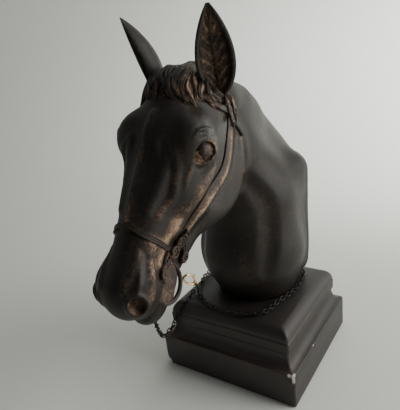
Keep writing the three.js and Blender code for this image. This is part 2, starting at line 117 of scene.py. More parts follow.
def disc(p, centre, radius, half, rounding):
    rim = np.hypot(p[1] - centre[1], p[2] - centre[2]) - radius + rounding
    side = np.abs(p[0] - centre[0]) - (half - rounding)
    outside = np.hypot(np.maximum(rim, 0), np.maximum(side, 0))
    return outside + np.minimum(np.maximum(rim, side), 0) - rounding


def join(a, b, blend):
    h = np.maximum(blend - np.abs(a - b), 0) / blend
    return np.minimum(a, b) - h * h * blend * 0.25


def cut(a, b, blend):
    return -join(-a, b, blend)


def head_field(x, y, z):
    dy = y - POLL[1]
    dz = z - POLL[2]
    p = (np.abs(x), dy * ALONG[1] + dz * ALONG[2], dy * OUT[1] + dz * OUT[2])
    d = ellipsoid(p, (0, 38, -16), (27, 40, 27))
    d = join(d, ellipsoid(p, (0, 14, -15), (20, 22, 9.5)), 6)
    d = join(d, limb(p, (0, 60, -11), (0, 146, -4), 23.5, 14, 0.95), 12)
    d = join(d, disc(p, (0, 56, -46), 42, 22.5, 13), 14)
    d = join(d, limb(p, (0, 92, -44), (0, 142, -31), 19, 12, 0.85), 14)
    d = join(d, ellipsoid(p, (0, 150, -9), (18.5, 20, 18)), 10)
    d = join(d, ellipsoid(p, (0, 156, -29), (13, 16, 12)), 7)
    d = join(d, ellipsoid(p, (11.5, 149, -2.5), (8, 13, 8.5)), 6)
    d = join(d, ellipsoid(p, (21, 53, 0.5), (12.3, 16, 11.5)), 10)
    d = join(d, ellipsoid(p, (17, 78, -12), (8, 16, 10)), 12)
    d = join(d, ellipsoid(p, (21.3, 58.2, -15.5), (10.3, 10.8, 10.3)), 7)
    d = join(d, limb(p, (20, 72, -24), (13, 106, -20), 3.5, 2), 12)
    return d


def neck_field(x, y, z):
    p = (np.abs(x), y, z - SEAT)
    d = limb(p, (0, 9, 5), (0, 8, 85), 36, 41)
    d = join(d, ellipsoid(p, (0, 2, 41), (46, 46, 42)), 16)
    d = join(d, limb(p, (24.5, 36, 19), (24, 37, 103), 15, 17), 14)
    d = join(d, limb(p, (0, 10, 85), (0, -35, 170), 42, 24, 0.8), 20)
    d = join(d, limb(p, (0, 42, 118), (0, -7, 170), 22, 14.5, 0.85), 16)
    d = join(d, limb(p, (0, 0, 160), (0, -56, 182), 12, 10, 0.85), 14)
    return cut(d, 54 - y, 6)


def horse_field(x, y, z):
    return join(head_field(x, y, z), neck_field(x, y, z), 7)


def value_at(points):
    return horse_field(points[:, 0], points[:, 1], points[:, 2])


NORMAL_STEP = 0.6


def normals_at(points):
    n = np.stack([value_at(points + NORMAL_STEP * e) - value_at(points - NORMAL_STEP * e)
                  for e in np.eye(3)], 1)
    return n / (np.linalg.norm(n, axis=1)[:, None] + 1e-9)


def on_skin(points, lift=0.0):
    q = np.array(points, float)
    for _ in range(8):
        q -= normals_at(q) * (value_at(q) - lift)[:, None] * 0.9
    return q


# Smooth curves through a few points


def smooth_path(points, count):
    points = np.asarray(points, float)
    ends = np.vstack([2 * points[0] - points[1], points, 2 * points[-1] - points[-2]])
    gaps = np.sqrt(np.linalg.norm(np.diff(ends, axis=0), axis=1)) + 1e-9
    knots = np.concatenate([[0], np.cumsum(gaps)])
    out = []
    fine = 12
    for i in range(1, len(ends) - 2):
        k0, k1, k2, k3 = knots[i - 1:i + 3]
        p0, p1, p2, p3 = ends[i - 1:i + 3]
        for t in np.linspace(k1, k2, fine, endpoint=False):
            a1 = (k1 - t) / (k1 - k0) * p0 + (t - k0) / (k1 - k0) * p1
            a2 = (k2 - t) / (k2 - k1) * p1 + (t - k1) / (k2 - k1) * p2
            a3 = (k3 - t) / (k3 - k2) * p2 + (t - k2) / (k3 - k2) * p3
            b1 = (k2 - t) / (k2 - k0) * a1 + (t - k0) / (k2 - k0) * a2
            b2 = (k3 - t) / (k3 - k1) * a2 + (t - k1) / (k3 - k1) * a3
            out.append((k2 - t) / (k2 - k1) * b1 + (t - k1) / (k2 - k1) * b2)
    out = np.vstack([out, points[-1]])
    return evenly(out, count)


def path_run(path):
    """How far along a path each of its points lies."""
    return np.concatenate([[0], np.cumsum(np.linalg.norm(np.diff(path, axis=0), axis=1))])


def evenly(path, count):
    """Points at equal distances along a path."""
    run = path_run(path)
    at = np.linspace(0, run[-1], count)
    return np.stack([np.interp(at, run, path[:, i]) for i in range(3)], 1)


def tangents(path):
    t = np.gradient(path, axis=0)
    return t / (np.linalg.norm(t, axis=1)[:, None] + 1e-9)


def sides_of(path, normal):
    """The direction across a path on the skin, at each of its points."""
    side = np.cross(tangents(path), normal)
    return side / (np.linalg.norm(side, axis=1)[:, None] + 1e-9)


def circle(centre, u, v, count):
    """Points round an ellipse, from its two half axes."""
    return [centre + u * math.cos(t) + v * math.sin(t)
            for t in np.linspace(0, 2 * math.pi, count, endpoint=False)]


# A block of space holding the field at its grid points


def spaced(*stretches):
    runs = [np.arange(a, b, step) for a, b, step in stretches]
    return np.concatenate(runs + [[stretches[-1][1]]])


class Volume:
    def __init__(self, xs, ys, zs, field):
        self.axes = [xs, ys, zs]
        self.value = field(xs[:, None, None], ys[None, :, None], zs[None, None, :])

    def block(self, low, high):
        spans = []
        for axis, a, b in zip(self.axes, low, high):
            first, last = np.searchsorted(axis, (a, b))
            spans.append(slice(first, last))
        x, y, z = [axis[s] for axis, s in zip(self.axes, spans)]
        return tuple(spans), (x[:, None, None], y[None, :, None], z[None, None, :])

    def change(self, low, high, shape, blend, remove=False):
        spans, (x, y, z) = self.block(low, high)
        if 0 in self.value[spans].shape:
            return
        d = shape(x, y, z)
        here = self.value[spans]
        self.value[spans] = cut(here, d, blend) if remove else join(here, d, blend)

    def stroke(self, points, radius, stand, blend, remove=False, taper=(1.0, 1.0), count=None,
               snap=True):
        """A ridge or groove that follows the skin through the points, or keeps to them without snap."""
        count = count or max(4, len(points) * 4)
        path = smooth_path(on_skin(points) if snap else points, count)
        path = on_skin(path) if snap else path
        normal = normals_at(path)
        share = np.linspace(0, 1, count)
        swell = np.interp(share, (0, 0.25, 0.75, 1), (taper[0], 1, 1, taper[1]))
        radii = radius * swell
        depth = stand * swell
        centre = path + normal * ((radii - depth) if remove else (depth - radii))[:, None]
        reach = radius + blend + 2
        low, high = centre.min(0) - reach, centre.max(0) + reach

        def shape(x, y, z):
            best = None
            for a, b, ra, rb in zip(centre[:-1], centre[1:], radii[:-1], radii[1:]):
                d = limb((x, y, z), a, b, ra, rb)
                best = d if best is None else np.minimum(best, d)
            return best
        self.change(low, high, shape, blend, remove)

    def mesh(self):
        """Surface nets: one vertex in each cell that the surface crosses."""
        v = self.value
        inside = v < 0
        n = [s - 1 for s in v.shape]
        crossings = np.zeros(n, np.int8)
        place = np.zeros(n + [3], np.float32)
        corners = [(i, j, k) for i in (0, 1) for j in (0, 1) for k in (0, 1)]

        def part(o):
            return tuple(slice(o[a], o[a] + n[a]) for a in range(3))
        for a in corners:
            for axis in range(3):
                if a[axis]:
                    continue
                b = list(a)
                b[axis] = 1
                va, vb = v[part(a)], v[part(b)]
                cross = (va < 0) != (vb < 0)
                t = np.where(cross, va / np.where(cross, va - vb, 1), 0)
                crossings += cross
                for c in range(3):
                    place[..., c] += np.where(cross, a[c] + (t if c == axis else 0), 0)
        active = crossings > 0
        number = -np.ones(n, int)
        number[active] = np.arange(active.sum())
        cell = np.argwhere(active) + place[active] / crossings[active][:, None]
        vertices = np.stack([np.interp(cell[:, i], np.arange(len(self.axes[i])), self.axes[i])
                             for i in range(3)], 1)
        quads = []
        for axis in range(3):
            b, c = (axis + 1) % 3, (axis + 2) % 3
            near = [slice(None)] * 3
            far = [slice(None)] * 3
            near[axis] = slice(0, v.shape[axis] - 1)
            far[axis] = slice(1, v.shape[axis])
            here, there = inside[tuple(near)], inside[tuple(far)]
            edge = np.argwhere(here != there)
            keep = (edge[:, b] > 0) & (edge[:, c] > 0) & (edge[:, b] < n[b]) & (edge[:, c] < n[c])
            edge = edge[keep]
            outward = here[tuple(edge.T)]

            def at(db, dc):
                q = edge.copy()
                q[:, b] += db
                q[:, c] += dc
                return number[tuple(q.T)]
            quad = np.stack([at(-1, -1), at(0, -1), at(0, 0), at(-1, 0)], 1)
            quad[~outward] = quad[~outward][:, ::-1]
            quads.append(quad)
        return vertices, np.concatenate(quads)


# Meshes into the scene


def place_object(name, data):
    obj = bpy.data.objects.new(name, data)
    bpy.context.scene.collection.objects.link(obj)
    return obj


def add_piece(name, vertices, faces, material, node, patina_and_shade, body="root"):
    mesh = bpy.data.meshes.new(name)
    vertices = np.asarray(vertices, np.float32) * MM
    if isinstance(faces, np.ndarray):
        count = len(faces)
        size = faces.shape[1]
        mesh.vertices.add(len(vertices))
        mesh.vertices.foreach_set("co", vertices.ravel())
        mesh.loops.add(count * size)
        mesh.loops.foreach_set("vertex_index", faces.astype(np.int32).ravel())
        mesh.polygons.add(count)
        mesh.polygons.foreach_set("loop_start", np.arange(0, count * size, size, dtype=np.int32))
        mesh.update(calc_edges=True)
    else:
        mesh.from_pydata(vertices.tolist(), [], faces)
    mesh.validate()
    mesh.shade_smooth()
    layer = mesh.attributes.new("patina_and_shade", "FLOAT", "POINT")
    layer.data.foreach_set("value", np.asarray(patina_and_shade, np.float32))
    mesh.materials.append(material)
    piece = place_object(name, mesh)
    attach(piece, body)
    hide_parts(node)


class Parts:
    """Gathers several skins into one mesh."""

    def __init__(self):
        self.vertices = []
        self.faces = []
        self.count = 0
        self.patina_and_shade = []

    def add(self, vertices, faces, patina_and_shade=0.0):
        self.vertices.append(np.asarray(vertices))
        self.faces += [tuple(i + self.count for i in f) for f in faces]
        self.count += len(vertices)
        self.patina_and_shade.append(np.broadcast_to(np.asarray(patina_and_shade, float), (len(vertices),)))

    def make(self, name, material, node):
        add_piece(name, np.concatenate(self.vertices), self.faces, material, node,
                  np.concatenate(self.patina_and_shade))


def loft(rings, closed=False):
    """A skin over rings of points, fanned shut at both ends unless it closes on itself."""
    rings = [np.asarray(r) for r in rings]
    size = len(rings[0])
    vertices = np.concatenate(rings)
    faces = []
    count = len(rings)
    for r in range(count if closed else count - 1):
        a = r * size
        b = ((r + 1) % count) * size
        for i in range(size):
            j = (i + 1) % size
            faces.append((a + i, a + j, b + j, b + i))
    if not closed:
        vertices = np.vstack([vertices, rings[0].mean(0), rings[-1].mean(0)])
        last = (count - 1) * size
        for i in range(size):
            j = (i + 1) % size
            faces.append((count * size, j, i))
            faces.append((count * size + 1, last + i, last + j))
    return vertices, faces


def ribbon(path, normal, section):
    """Sweeps section(t) -> [(sideways, outward)] along a path on the skin."""
    side = sides_of(path, normal)
    rings = []
    for i, t in enumerate(np.linspace(0, 1, len(path))):
        rings.append([path[i] + side[i] * s + normal[i] * o for s, o in section(t)])
    return loft(rings)


def wire_ring(centre, axis_u, axis_v, radius_u, radius_v, wire, turns=28, sides=10):
    """A ring of round wire, its middle line an ellipse in the plane of the two axes."""
    u = unit(axis_u)
    v = unit(flatten(axis_v, u))
    w = np.cross(u, v)
    rings = []
    for a in np.linspace(0, 2 * math.pi, turns, endpoint=False):
        middle = centre + u * radius_u * math.cos(a) + v * radius_v * math.sin(a)
        outward = unit(u * math.cos(a) / radius_u + v * math.sin(a) / radius_v)
        rings.append(circle(middle, outward * wire, w * wire, sides))
    return loft(rings, closed=True)


# Materials


class Finish:
    """A procedural material, and the nodes that are added to it."""

    def __init__(self, name):
        self.material = bpy.data.materials.new(name)
        self.material.use_nodes = True
        self.nodes = self.material.node_tree.nodes
        self.shader = self.nodes["Principled BSDF"]
        self.place = None

    def feed(self, socket, value):
        """Sets a socket to a constant, or links a node's output to it."""
        if isinstance(value, (int, float)):
            socket.default_value = value
        else:
            self.material.node_tree.links.new(value, socket)

    def maths(self, kind, a, b):
        m = self.nodes.new("ShaderNodeMath")
        m.operation = kind
        self.feed(m.inputs[0], a)
        self.feed(m.inputs[1], b)
        return m.outputs["Value"]

    def add(self, a, b):
        return self.maths("ADD", a, b)

    def times(self, a, b):
        return self.maths("MULTIPLY", a, b)

    def noise(self, scale, detail, rough=0.55):
        """Noise in the piece's own coordinates."""
        if self.place is None:
            self.place = self.nodes.new("ShaderNodeTexCoord").outputs["Object"]
        n = self.nodes.new("ShaderNodeTexNoise")
        n.inputs["Scale"].default_value = scale
        n.inputs["Detail"].default_value = detail
        n.inputs["Roughness"].default_value = rough
        self.feed(n.inputs["Vector"], self.place)
        return n.outputs["Fac"]

    def spread(self, mottle, gain):
        """The mottle's swing about its middle, made stronger."""
        return self.times(self.maths("SUBTRACT", mottle, 0.5), gain)

    def patina_and_shade(self):
        worn = self.nodes.new("ShaderNodeAttribute")
        worn.attribute_name = "patina_and_shade"
        return worn.outputs["Fac"]

    def colour(self, amount, stops):
        """The shader's colour, by the amount, through the stops given."""
        r = self.nodes.new("ShaderNodeValToRGB")
        elements = r.color_ramp.elements
        elements.remove(elements[-1])
        elements[0].position = stops[0][0]
        elements[0].color = (*stops[0][1], 1)
        for place, colour in stops[1:]:
            elements.new(place).color = (*colour, 1)
        self.feed(r.inputs["Fac"], amount)
        self.feed(self.shader.inputs["Base Color"], r.outputs["Color"])

    def rough(self, source, gain, base, more=None):
        """The shader's roughness: the source times the gain, plus the base, plus more if given."""
        value = self.add(self.times(source, gain), base)
        if more is not None:
            value = self.add(value, more)
        self.feed(self.shader.inputs["Roughness"], value)

    def bump(self, strength, distance, height):
        b = self.nodes.new("ShaderNodeBump")
        b.inputs["Strength"].default_value = strength
        b.inputs["Distance"].default_value = distance
        self.feed(b.inputs["Height"], height)
        self.feed(self.shader.inputs["Normal"], b.outputs["Normal"])


BLACK_RESIN = (0.0140, 0.0118, 0.0096)
DARK_RESIN = (0.022, 0.0175, 0.0138)
BROWN_RESIN = (0.056, 0.036, 0.024)
RUBBED_BROWN = (0.150, 0.095, 0.060)
RUBBED_GOLD = (0.34, 0.235, 0.150)
RESIN_COLOURS = [(0.0, BLACK_RESIN), (0.24, DARK_RESIN), (0.45, BROWN_RESIN), (0.70, RUBBED_BROWN),
                 (0.98, RUBBED_GOLD)]
PLINTH_BLACK = (0.0185, 0.0160, 0.0145)
PLINTH_DARK = (0.028, 0.0215, 0.0185)
PLINTH_BROWN = (0.055, 0.034, 0.026)
PLINTH_DUST = (0.10, 0.065, 0.048)
CHIP_PALE = (0.45, 0.42, 0.38)
PLINTH_COLOURS = [(0.0, PLINTH_BLACK), (0.35, PLINTH_DARK), (0.6, PLINTH_BROWN), (0.8, PLINTH_DUST),
                  (0.95, CHIP_PALE)]
CHAIN_BLACK = (0.03, 0.03, 0.032)
CHAIN_DARK = (0.012, 0.012, 0.013)
CLASP_GOLD = (0.95, 0.72, 0.32)
CLASP_DARK = (0.70, 0.47, 0.17)


def resin_material():
    """Near-black cast resin with brown rubbed into the relief; the attribute that drives the brown also
    carries painted shade.
    """
    coat = Finish("cast_resin_finish")
    patina_and_shade = coat.patina_and_shade()
    broad = coat.noise(60, 3)
    fine = coat.noise(520, 5, 0.7)
    medium = coat.noise(190, 4, 0.65)
    mottle = coat.times(coat.add(broad, medium), 0.5)
    mottle = coat.times(coat.add(mottle, fine), 0.5)
    share = coat.add(coat.times(patina_and_shade, 0.8), 0.34)
    coat.colour(coat.add(patina_and_shade, coat.times(coat.spread(mottle, 4.4), share)), RESIN_COLOURS)
    coat.rough(medium, 0.18, 0.36, coat.times(patina_and_shade, 0.20))
    coat.shader.inputs["Specular IOR Level"].default_value = 0.28
    coat.bump(0.22, 0.0006, coat.add(fine, medium))
    return coat.material


def plinth_material():
    """The same resin, dusted reddish brown on the mouldings, with pale flecks in the chips."""
    coat = Finish("plinth_resin_finish")
    broad = coat.noise(32, 4)
    fine = coat.noise(380, 5, 0.7)
    mottle = coat.add(coat.times(broad, 0.7), coat.times(fine, 0.3))
    coat.colour(coat.add(coat.patina_and_shade(), coat.spread(mottle, 1.1)), PLINTH_COLOURS)
    coat.rough(fine, 0.2, 0.36)
    coat.shader.inputs["Specular IOR Level"].default_value = 0.5
    coat.bump(0.16, 0.0008, coat.add(fine, broad))
    return coat.material


def metal_material(name, colour, dark, metallic, low, high):
    """Plated metal with a little tarnish and uneven shine."""
    coat = Finish(name)
    tarnish = coat.noise(600, 4)
    coat.colour(tarnish, [(0.3, dark), (0.6, colour)])
    coat.rough(tarnish, high - low, low)
    coat.shader.inputs["Metallic"].default_value = metallic
    return coat.material


resin = resin_material()
plinth_resin = plinth_material()
black_metal = metal_material("black_chain_finish", CHAIN_BLACK, CHAIN_DARK, 0.7, 0.25, 0.5)
gold_metal = metal_material("gold_clasp_finish", CLASP_GOLD, CLASP_DARK, 1.0, 0.18, 0.38)


# Where brown shows: near the straps, the eyes, the nostrils and the hair, with painted shade along the
# cheek-strap grooves and under the upper lids


def near_line(points, line, reach):
    """One on a line of points, falling to nought at the reach."""
    line = np.asarray(line, float)
    best = np.full(len(points), 1e9)
    for a, b in zip(line[:-1], line[1:]):
        d = b - a
        t = np.clip((points - a) @ d / (d @ d + 1e-9), 0, 1)
        best = np.minimum(best, np.linalg.norm(points - a - t[:, None] * d, axis=1))
    return np.clip(1 - best / reach, 0, 1)


# Lines and points of the head: across, along, out. All but FAR_NOSTRIL are the left side's.
NOSE_BAND = [(0, 115.5, 11), (4.2, 115, 10.2), (11.4, 117.8, 5.7), (15.8, 119.5, -3), (14, 120.7, -12),
             (12.3, 120.9, -19), (12, 120, -27)]
BROW_BAND = [(20, 24, 2), (24.6, 25.4, -8.3), (26, 25.5, -15.8), (24.5, 23, -28)]
HEAD_PIECE = [(8, -4, -14), (16, 4, -27), (18.7, 9, -33.9), (20.1, 12.7, -36), (22.6, 19, -35)]
STRAP_END = [(22.5, 20, -42), (23, 23.3, -48), (23.7, 25, -55), (24, 27.5, -60)]
MUSCLE_BAND = [(14.5, 58, 9), (20.2, 64.1, 6.4), (20.3, 72.9, 2.0), (20.3, 84.0, -0.6),
               (18.6, 93.0, -2.7), (16.6, 98.7, 0.0), (15.6, 105.4, 1.1)]
EYE_VEIN = [(28.3, 69.5, -1.9), (27.4, 74.4, -4.1), (26.0, 79.3, -4.0), (25.3, 84, -5.0)]
NOSE_EDGE = [(12.5, 60, 8), (13.5, 70, 6.5), (13.5, 79, 5.5), (12.5, 88, 5.5), (10, 104, 6.5)]
NOSE_KEEL = [(0, 42, 12), (0, 64, 12.5), (0, 77, 11.5), (0, 93, 10.9), (0, 111, 10.8)]
MUZZLE_RIDGES = [
    [(12.8, 130, 3.6), (14.6, 139.2, 4.8), (16.3, 145.4, 5.3), (16.7, 151.5, 5.1)],
    [(10.8, 129, 5.7), (11.8, 139.5, 6.9), (9.6, 147.3, 9.5), (9.5, 153, 9)],
    [(14.7, 127, -1.2), (18.7, 140, -1.9), (19.8, 153, -5.3)],
]
NOSTRIL = (15.6, 158.6, 1.2)
FAR_NOSTRIL = (-17.5, 156.5, -3.0)
NOSTRIL_LIP = [(13.2, 154.6, 6.6), (11.8, 158, 5.6), (11.2, 161.5, 2.4), (11.8, 164.6, -2)]
NOSTRIL_OVAL = 1.12
NOSTRIL_RIM = 5.9
NOSTRIL_HOLLOW = (6.3, 5.5, 5.2)
MOUTH = [(16, 139, -15), (16.5, 147, -19), (13.5, 156, -22), (7, 167, -22), (0, 171, -21)]
EYE_CENTRE = (22.3, 57.4, -13.2)
GOLD_RIDGE = [(26.5, 62, -32), (28.2, 73.4, -22.5), (26.2, 86.2, -17), (21, 97.8, -14.5), (17.6, 106.3, -14),
              (16, 113, -13)]
JAW_EDGE = [(22, 24, -60), (21.5, 34, -69), (21, 46, -77), (20, 59, -82), (17, 72, -86), (9, 82, -89)]


def both(points, side):
    """A line of the left side, or its mirror image."""
    return [(a * side, s, o) for a, s, o in points]


def on_side(points, side):
    """A line of the head on one side, in the frame."""
    return from_head(both(points, side))


def skin_point(point, side, lift=0.0):
    """A point of the head on one side, moved to the skin."""
    return on_skin(on_side([point], side), lift)[0]


STRAP_FRONT = [(24.9, 21, -32), (24.4, 31.9, -37.3), (23.6, 40.8, -40.9), (22.9, 50, -43.6),
               (22.8, 58.3, -43.0), (23.6, 68.7, -37.4), (25.3, 78.3, -29.6), (24.6, 87.1, -25.4),
               (21.8, 95.1, -24.8), (17.9, 101.5, -26), (15.3, 107.5, -26.5), (13.5, 112, -27)]
STRAP_REAR = [(22.9, 20.5, -41), (23.2, 27, -47.6), (23.0, 35, -51.5), (22.7, 43, -54), (22.5, 50.5, -55.5),
              (22.5, 58.5, -55.3), (22.5, 67.5, -52), (22.6, 76.6, -46.5), (23, 86, -40.5), (21, 94.6, -38),
              (17.2, 102, -37), (13.5, 108.5, -36)]
# The hollow behind the windpipe, and the edge where the side meets the back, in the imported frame
NECK_VALLEY = [(21.8, -34.5, 182), (27.9, -25.6, 165), (31.5, -22.7, 151), (32.2, -24, 134),
               (32.6, -28.6, 118), (30.8, -32, 101)]
NECK_ARRIS = [(29.4, 46, 182), (37.5, 42, 174), (41.5, 37, 160), (42.4, 34, 145), (43.6, 33, 125),
              (44, 33, 108), (41, 34, 90), (37, 34, 76)]


def strap_edges(side):
    """The two lines where the cheek strap meets the skin."""
    return [on_skin(smooth_path(on_skin(on_side(line, side)), 70)) for line in (STRAP_FRONT, STRAP_REAR)]


def bust_volume():
    xs = spaced((-50, 50, 1.0))
    ys = spaced((-178, -48, 1.0), (-48, 58, 2.0))
    zs = spaced((SEAT - 2, 132, 2.0), (132, 276, 1.0))
    volume = Volume(xs, ys, zs, horse_field)
    volume.value = np.maximum(volume.value, SEAT - zs[None, None, :])
    volume.stroke(from_head(NOSE_KEEL), 2.2, 0.7, 4, taper=(0.5, 0.6))
    for side in (1, -1):
        volume.stroke(on_side(JAW_EDGE, side), 2.2, 1.5, 2.0, remove=True, taper=(0.3, 0.5), count=26)
        volume.stroke(on_side(GOLD_RIDGE, side), 2.4, 1.2, 3, taper=(0.3, 0.5), count=26)
        for edge in strap_edges(side):
            volume.stroke(edge, 1.1, 1.1, 0.6, remove=True, count=70, snap=False)
        volume.stroke(on_side(NOSE_EDGE, side), 2.6, 0.8, 5, taper=(0.4, 0.4))
        volume.stroke(on_side(MUSCLE_BAND, side), 1.6, 0.45, 3.0, taper=(0.2, 0.2))
        volume.stroke(on_side(EYE_VEIN, side), 1.1, 0.4, 2, taper=(0.3, 0.2))
        for ridge, sharp in zip(MUZZLE_RIDGES, (1.2, 1.8, 1.8)):
            volume.stroke(on_side(ridge, side), sharp, 1.0, sharp * 1.6, taper=(0.3, 0.7))
        volume.stroke(on_side(MOUTH, side), 0.9, 0.9, 1.2, remove=True, taper=(0.4, 1))
        carve_nostril(volume, side)
        carve_eye(volume, side)
        volume.stroke(both(NECK_VALLEY, side), 9, 1.3, 7, remove=True, taper=(0.4, 0.5), count=24)
        volume.stroke(both(NECK_ARRIS, side), 1.6, 0.6, 2.2, taper=(0.4, 0.8), count=30)
    return volume


def local_places(centre, axes):
    """A function that gives where points lie along three axes from a centre."""
    def local(x, y, z):
        d = (x - centre[0], y - centre[1], z - centre[2])
        return [d[0] * e[0] + d[1] * e[1] + d[2] * e[2] for e in axes]
    return local


def carve_nostril(volume, side):
    """A deep soft hollow with a low lip."""
    centre = on_skin(from_head(NOSTRIL if side > 0 else FAR_NOSTRIL))[0]
    normal = normals_at(centre[None])[0]
    reach = 15
    low, high = centre - reach, centre + reach
    u = unit(np.cross(normal, ACROSS))
    local = local_places(centre, (u, np.cross(normal, u), normal))

    def rim(x, y, z):
        a, b, c = local(x, y, z)
        flat = np.sqrt((a / NOSTRIL_OVAL) ** 2 + b ** 2)
        return np.sqrt((flat - NOSTRIL_RIM) ** 2 + (c + 0.8) ** 2) - 1.3

    def hollow(x, y, z):
        return ellipsoid(local(x, y, z), (0, 0, 0.4), NOSTRIL_HOLLOW)
    volume.change(low, high, rim, 2.0)
    volume.change(low, high, hollow, 0.9, remove=True)
    volume.stroke(on_side(NOSTRIL_LIP, side), 1.2, 0.9, 1.0, taper=(0.4, 0.4), count=16)


def eye_axes(side):
    """The eyeball's middle, the way it looks, and the slant of its opening."""
    centre = on_side([EYE_CENTRE], side)[0]
    look = unit(0.80 * side * ACROSS + 0.24 * ALONG + 0.55 * OUT)
    rear = unit(flatten(-0.62 * ALONG + 0.30 * side * ACROSS - 0.45 * OUT, look))
    up = np.cross(look, rear) * (-side)
    if np.dot(up, OUT - ALONG) < 0:
        up = -up
    return centre, look, rear, up


# The eye: radii of the lids, the floor of the opening and the ball, how far out the ball sits,
# and the opening's half length, its height above and its height below
LID = 11.9
EYE_FLOOR = 10.1
BALL = 5.4
BALL_OUT = 5.5
EYE_LONG = 8.3
EYE_TALL = 6.9
EYE_SHORT = 6.2
BROW_FOLDS = [
    [(30.8, 55.6, 7.2), (32.0, 51.1, 5.5), (32.3, 46.8, -2.2), (28.6, 42.2, -14.2)],
    [(32.6, 53.7, 4.2), (32.8, 49.3, -2.5), (28.7, 43.7, -14.7)],
    [(32.9, 56.6, 2.1), (32.9, 51.6, -3.5), (28.4, 46.3, -19.4)],
]


def eye_size(a, b):
    """One on the rim of the eye's opening, less inside it and more outside."""
    height = np.where(b > 0, EYE_TALL, EYE_SHORT)
    front = np.where(a < 0, 1 + 0.12 * (a / EYE_LONG) ** 2, 1.0)
    return np.sqrt((a / EYE_LONG) ** 2 + (b * front / height) ** 2)


def carve_eye(volume, side):
    """A large round eye: shell of the lids, the opening, the ball, then the rim and the folds."""
    centre, look, rear, up = eye_axes(side)
    reach = 17
    low, high = centre - reach, centre + reach
    local = local_places(centre, (rear, up, look))

    def opening(x, y, z):
        a, b, c = local(x, y, z)
        return np.maximum((eye_size(a, b) - 1) * EYE_SHORT, 2.5 - c)

    def sphere(radius, out=0.0):
        def shape(x, y, z):
            a, b, c = local(x, y, z)
            return np.sqrt(a ** 2 + b ** 2 + (c - out) ** 2) - radius
        return shape

    def arc(size, turn_from, turn_to, radius):
        out = []
        for t in np.radians(np.linspace(turn_from, turn_to, 8)):
            a = EYE_LONG * size * math.cos(t)
            b = (EYE_TALL if math.sin(t) > 0 else EYE_SHORT) * size * math.sin(t)
            c = math.sqrt(max(radius ** 2 - a ** 2 - b ** 2, 4.0))
            out.append(centre + rear * a + up * b + look * c)
        return np.array(out)
    volume.change(low, high, sphere(LID), 2.5)
    volume.change(low, high, opening, 0.5, remove=True)
    volume.change(low, high, sphere(EYE_FLOOR), 0.4)
    volume.change(low, high, sphere(BALL, BALL_OUT), 0.3)
    upper = arc(1.06, 0, 180, LID)
    lower = arc(1.06, 180, 360, LID)
    crease = arc(1.42, 10, 170, LID + 0.2)
    below = on_skin(arc(1.45, 200, 335, LID + 0.5))
    volume.stroke(upper, 1.2, 1.35, 0.5, taper=(0.8, 0.6), count=26, snap=False)
    volume.stroke(lower, 1.0, 1.05, 0.5, taper=(0.6, 0.8), count=26, snap=False)
    volume.stroke(crease, 0.9, 1.1, 1.0, remove=True, taper=(0.4, 0.4), count=22, snap=False)
    volume.stroke(below, 0.9, 0.7, 1.6, remove=True, taper=(0.3, 0.3), count=20)
    for fold in BROW_FOLDS:
        volume.stroke(on_side(fold, side), 1.15, 1.6, 0.8, taper=(0.3, 0.3), count=18)


# Lines of the head that brown is rubbed along, with its reach and its strength
BROWN_LINES = [
    (STRAP_FRONT, 7, 0.35),
    (STRAP_REAR, 8, 0.30),
    (GOLD_RIDGE, 7, 0.50),
    ([(17.6, 104, -15), (16, 110, -14), (15, 116, -12)], 8, 0.4),
    ([(14, 121, -2), (13, 123, -14), (14.5, 130, -10)], 8, 0.65),
    (JAW_EDGE, 5, 0.3),
    (NOSE_BAND, 5, 0.25),
    (BROW_BAND, 8, 0.25),
    (HEAD_PIECE, 8, 0.35),
    (STRAP_END, 7, 0.35),
    (MUSCLE_BAND, 4, 0.4),
    (EYE_VEIN, 3.5, 0.35),
    (NOSE_KEEL, 2.6, 0.85),
    (NOSE_EDGE, 3.0, 0.2),
    ([(12, 34, 8), (22, 36, 5)], 8, 0.2),
    ([(18, 131, -10), (16.5, 138, -20), (14, 146, -26)], 10, 0.35),
    ([(15.2, 132, -1.3), (19.4, 142, -1.9), (20.4, 151, -3.4), (17.9, 158, -7.6)], 4, 0.35),
    (MUZZLE_RIDGES[1], 4, 0.38),
    (MUZZLE_RIDGES[2], 4, 0.38),
    ([NOSTRIL, (15, 160, 0)], 7.5, 0.55),
    (NOSTRIL_LIP, 2.6, 0.55),
]
# The same for the throat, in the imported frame
BROWN_THROAT = [
    ([(26, -36, 181), (28, -28, 165), (30, -25, 144), (29, -29, 126)], 16, 0.12),
    ([(14, -46, 160), (17, -46, 140), (20, -44, 118), (20, -40, 96)], 14, 0.16),
]


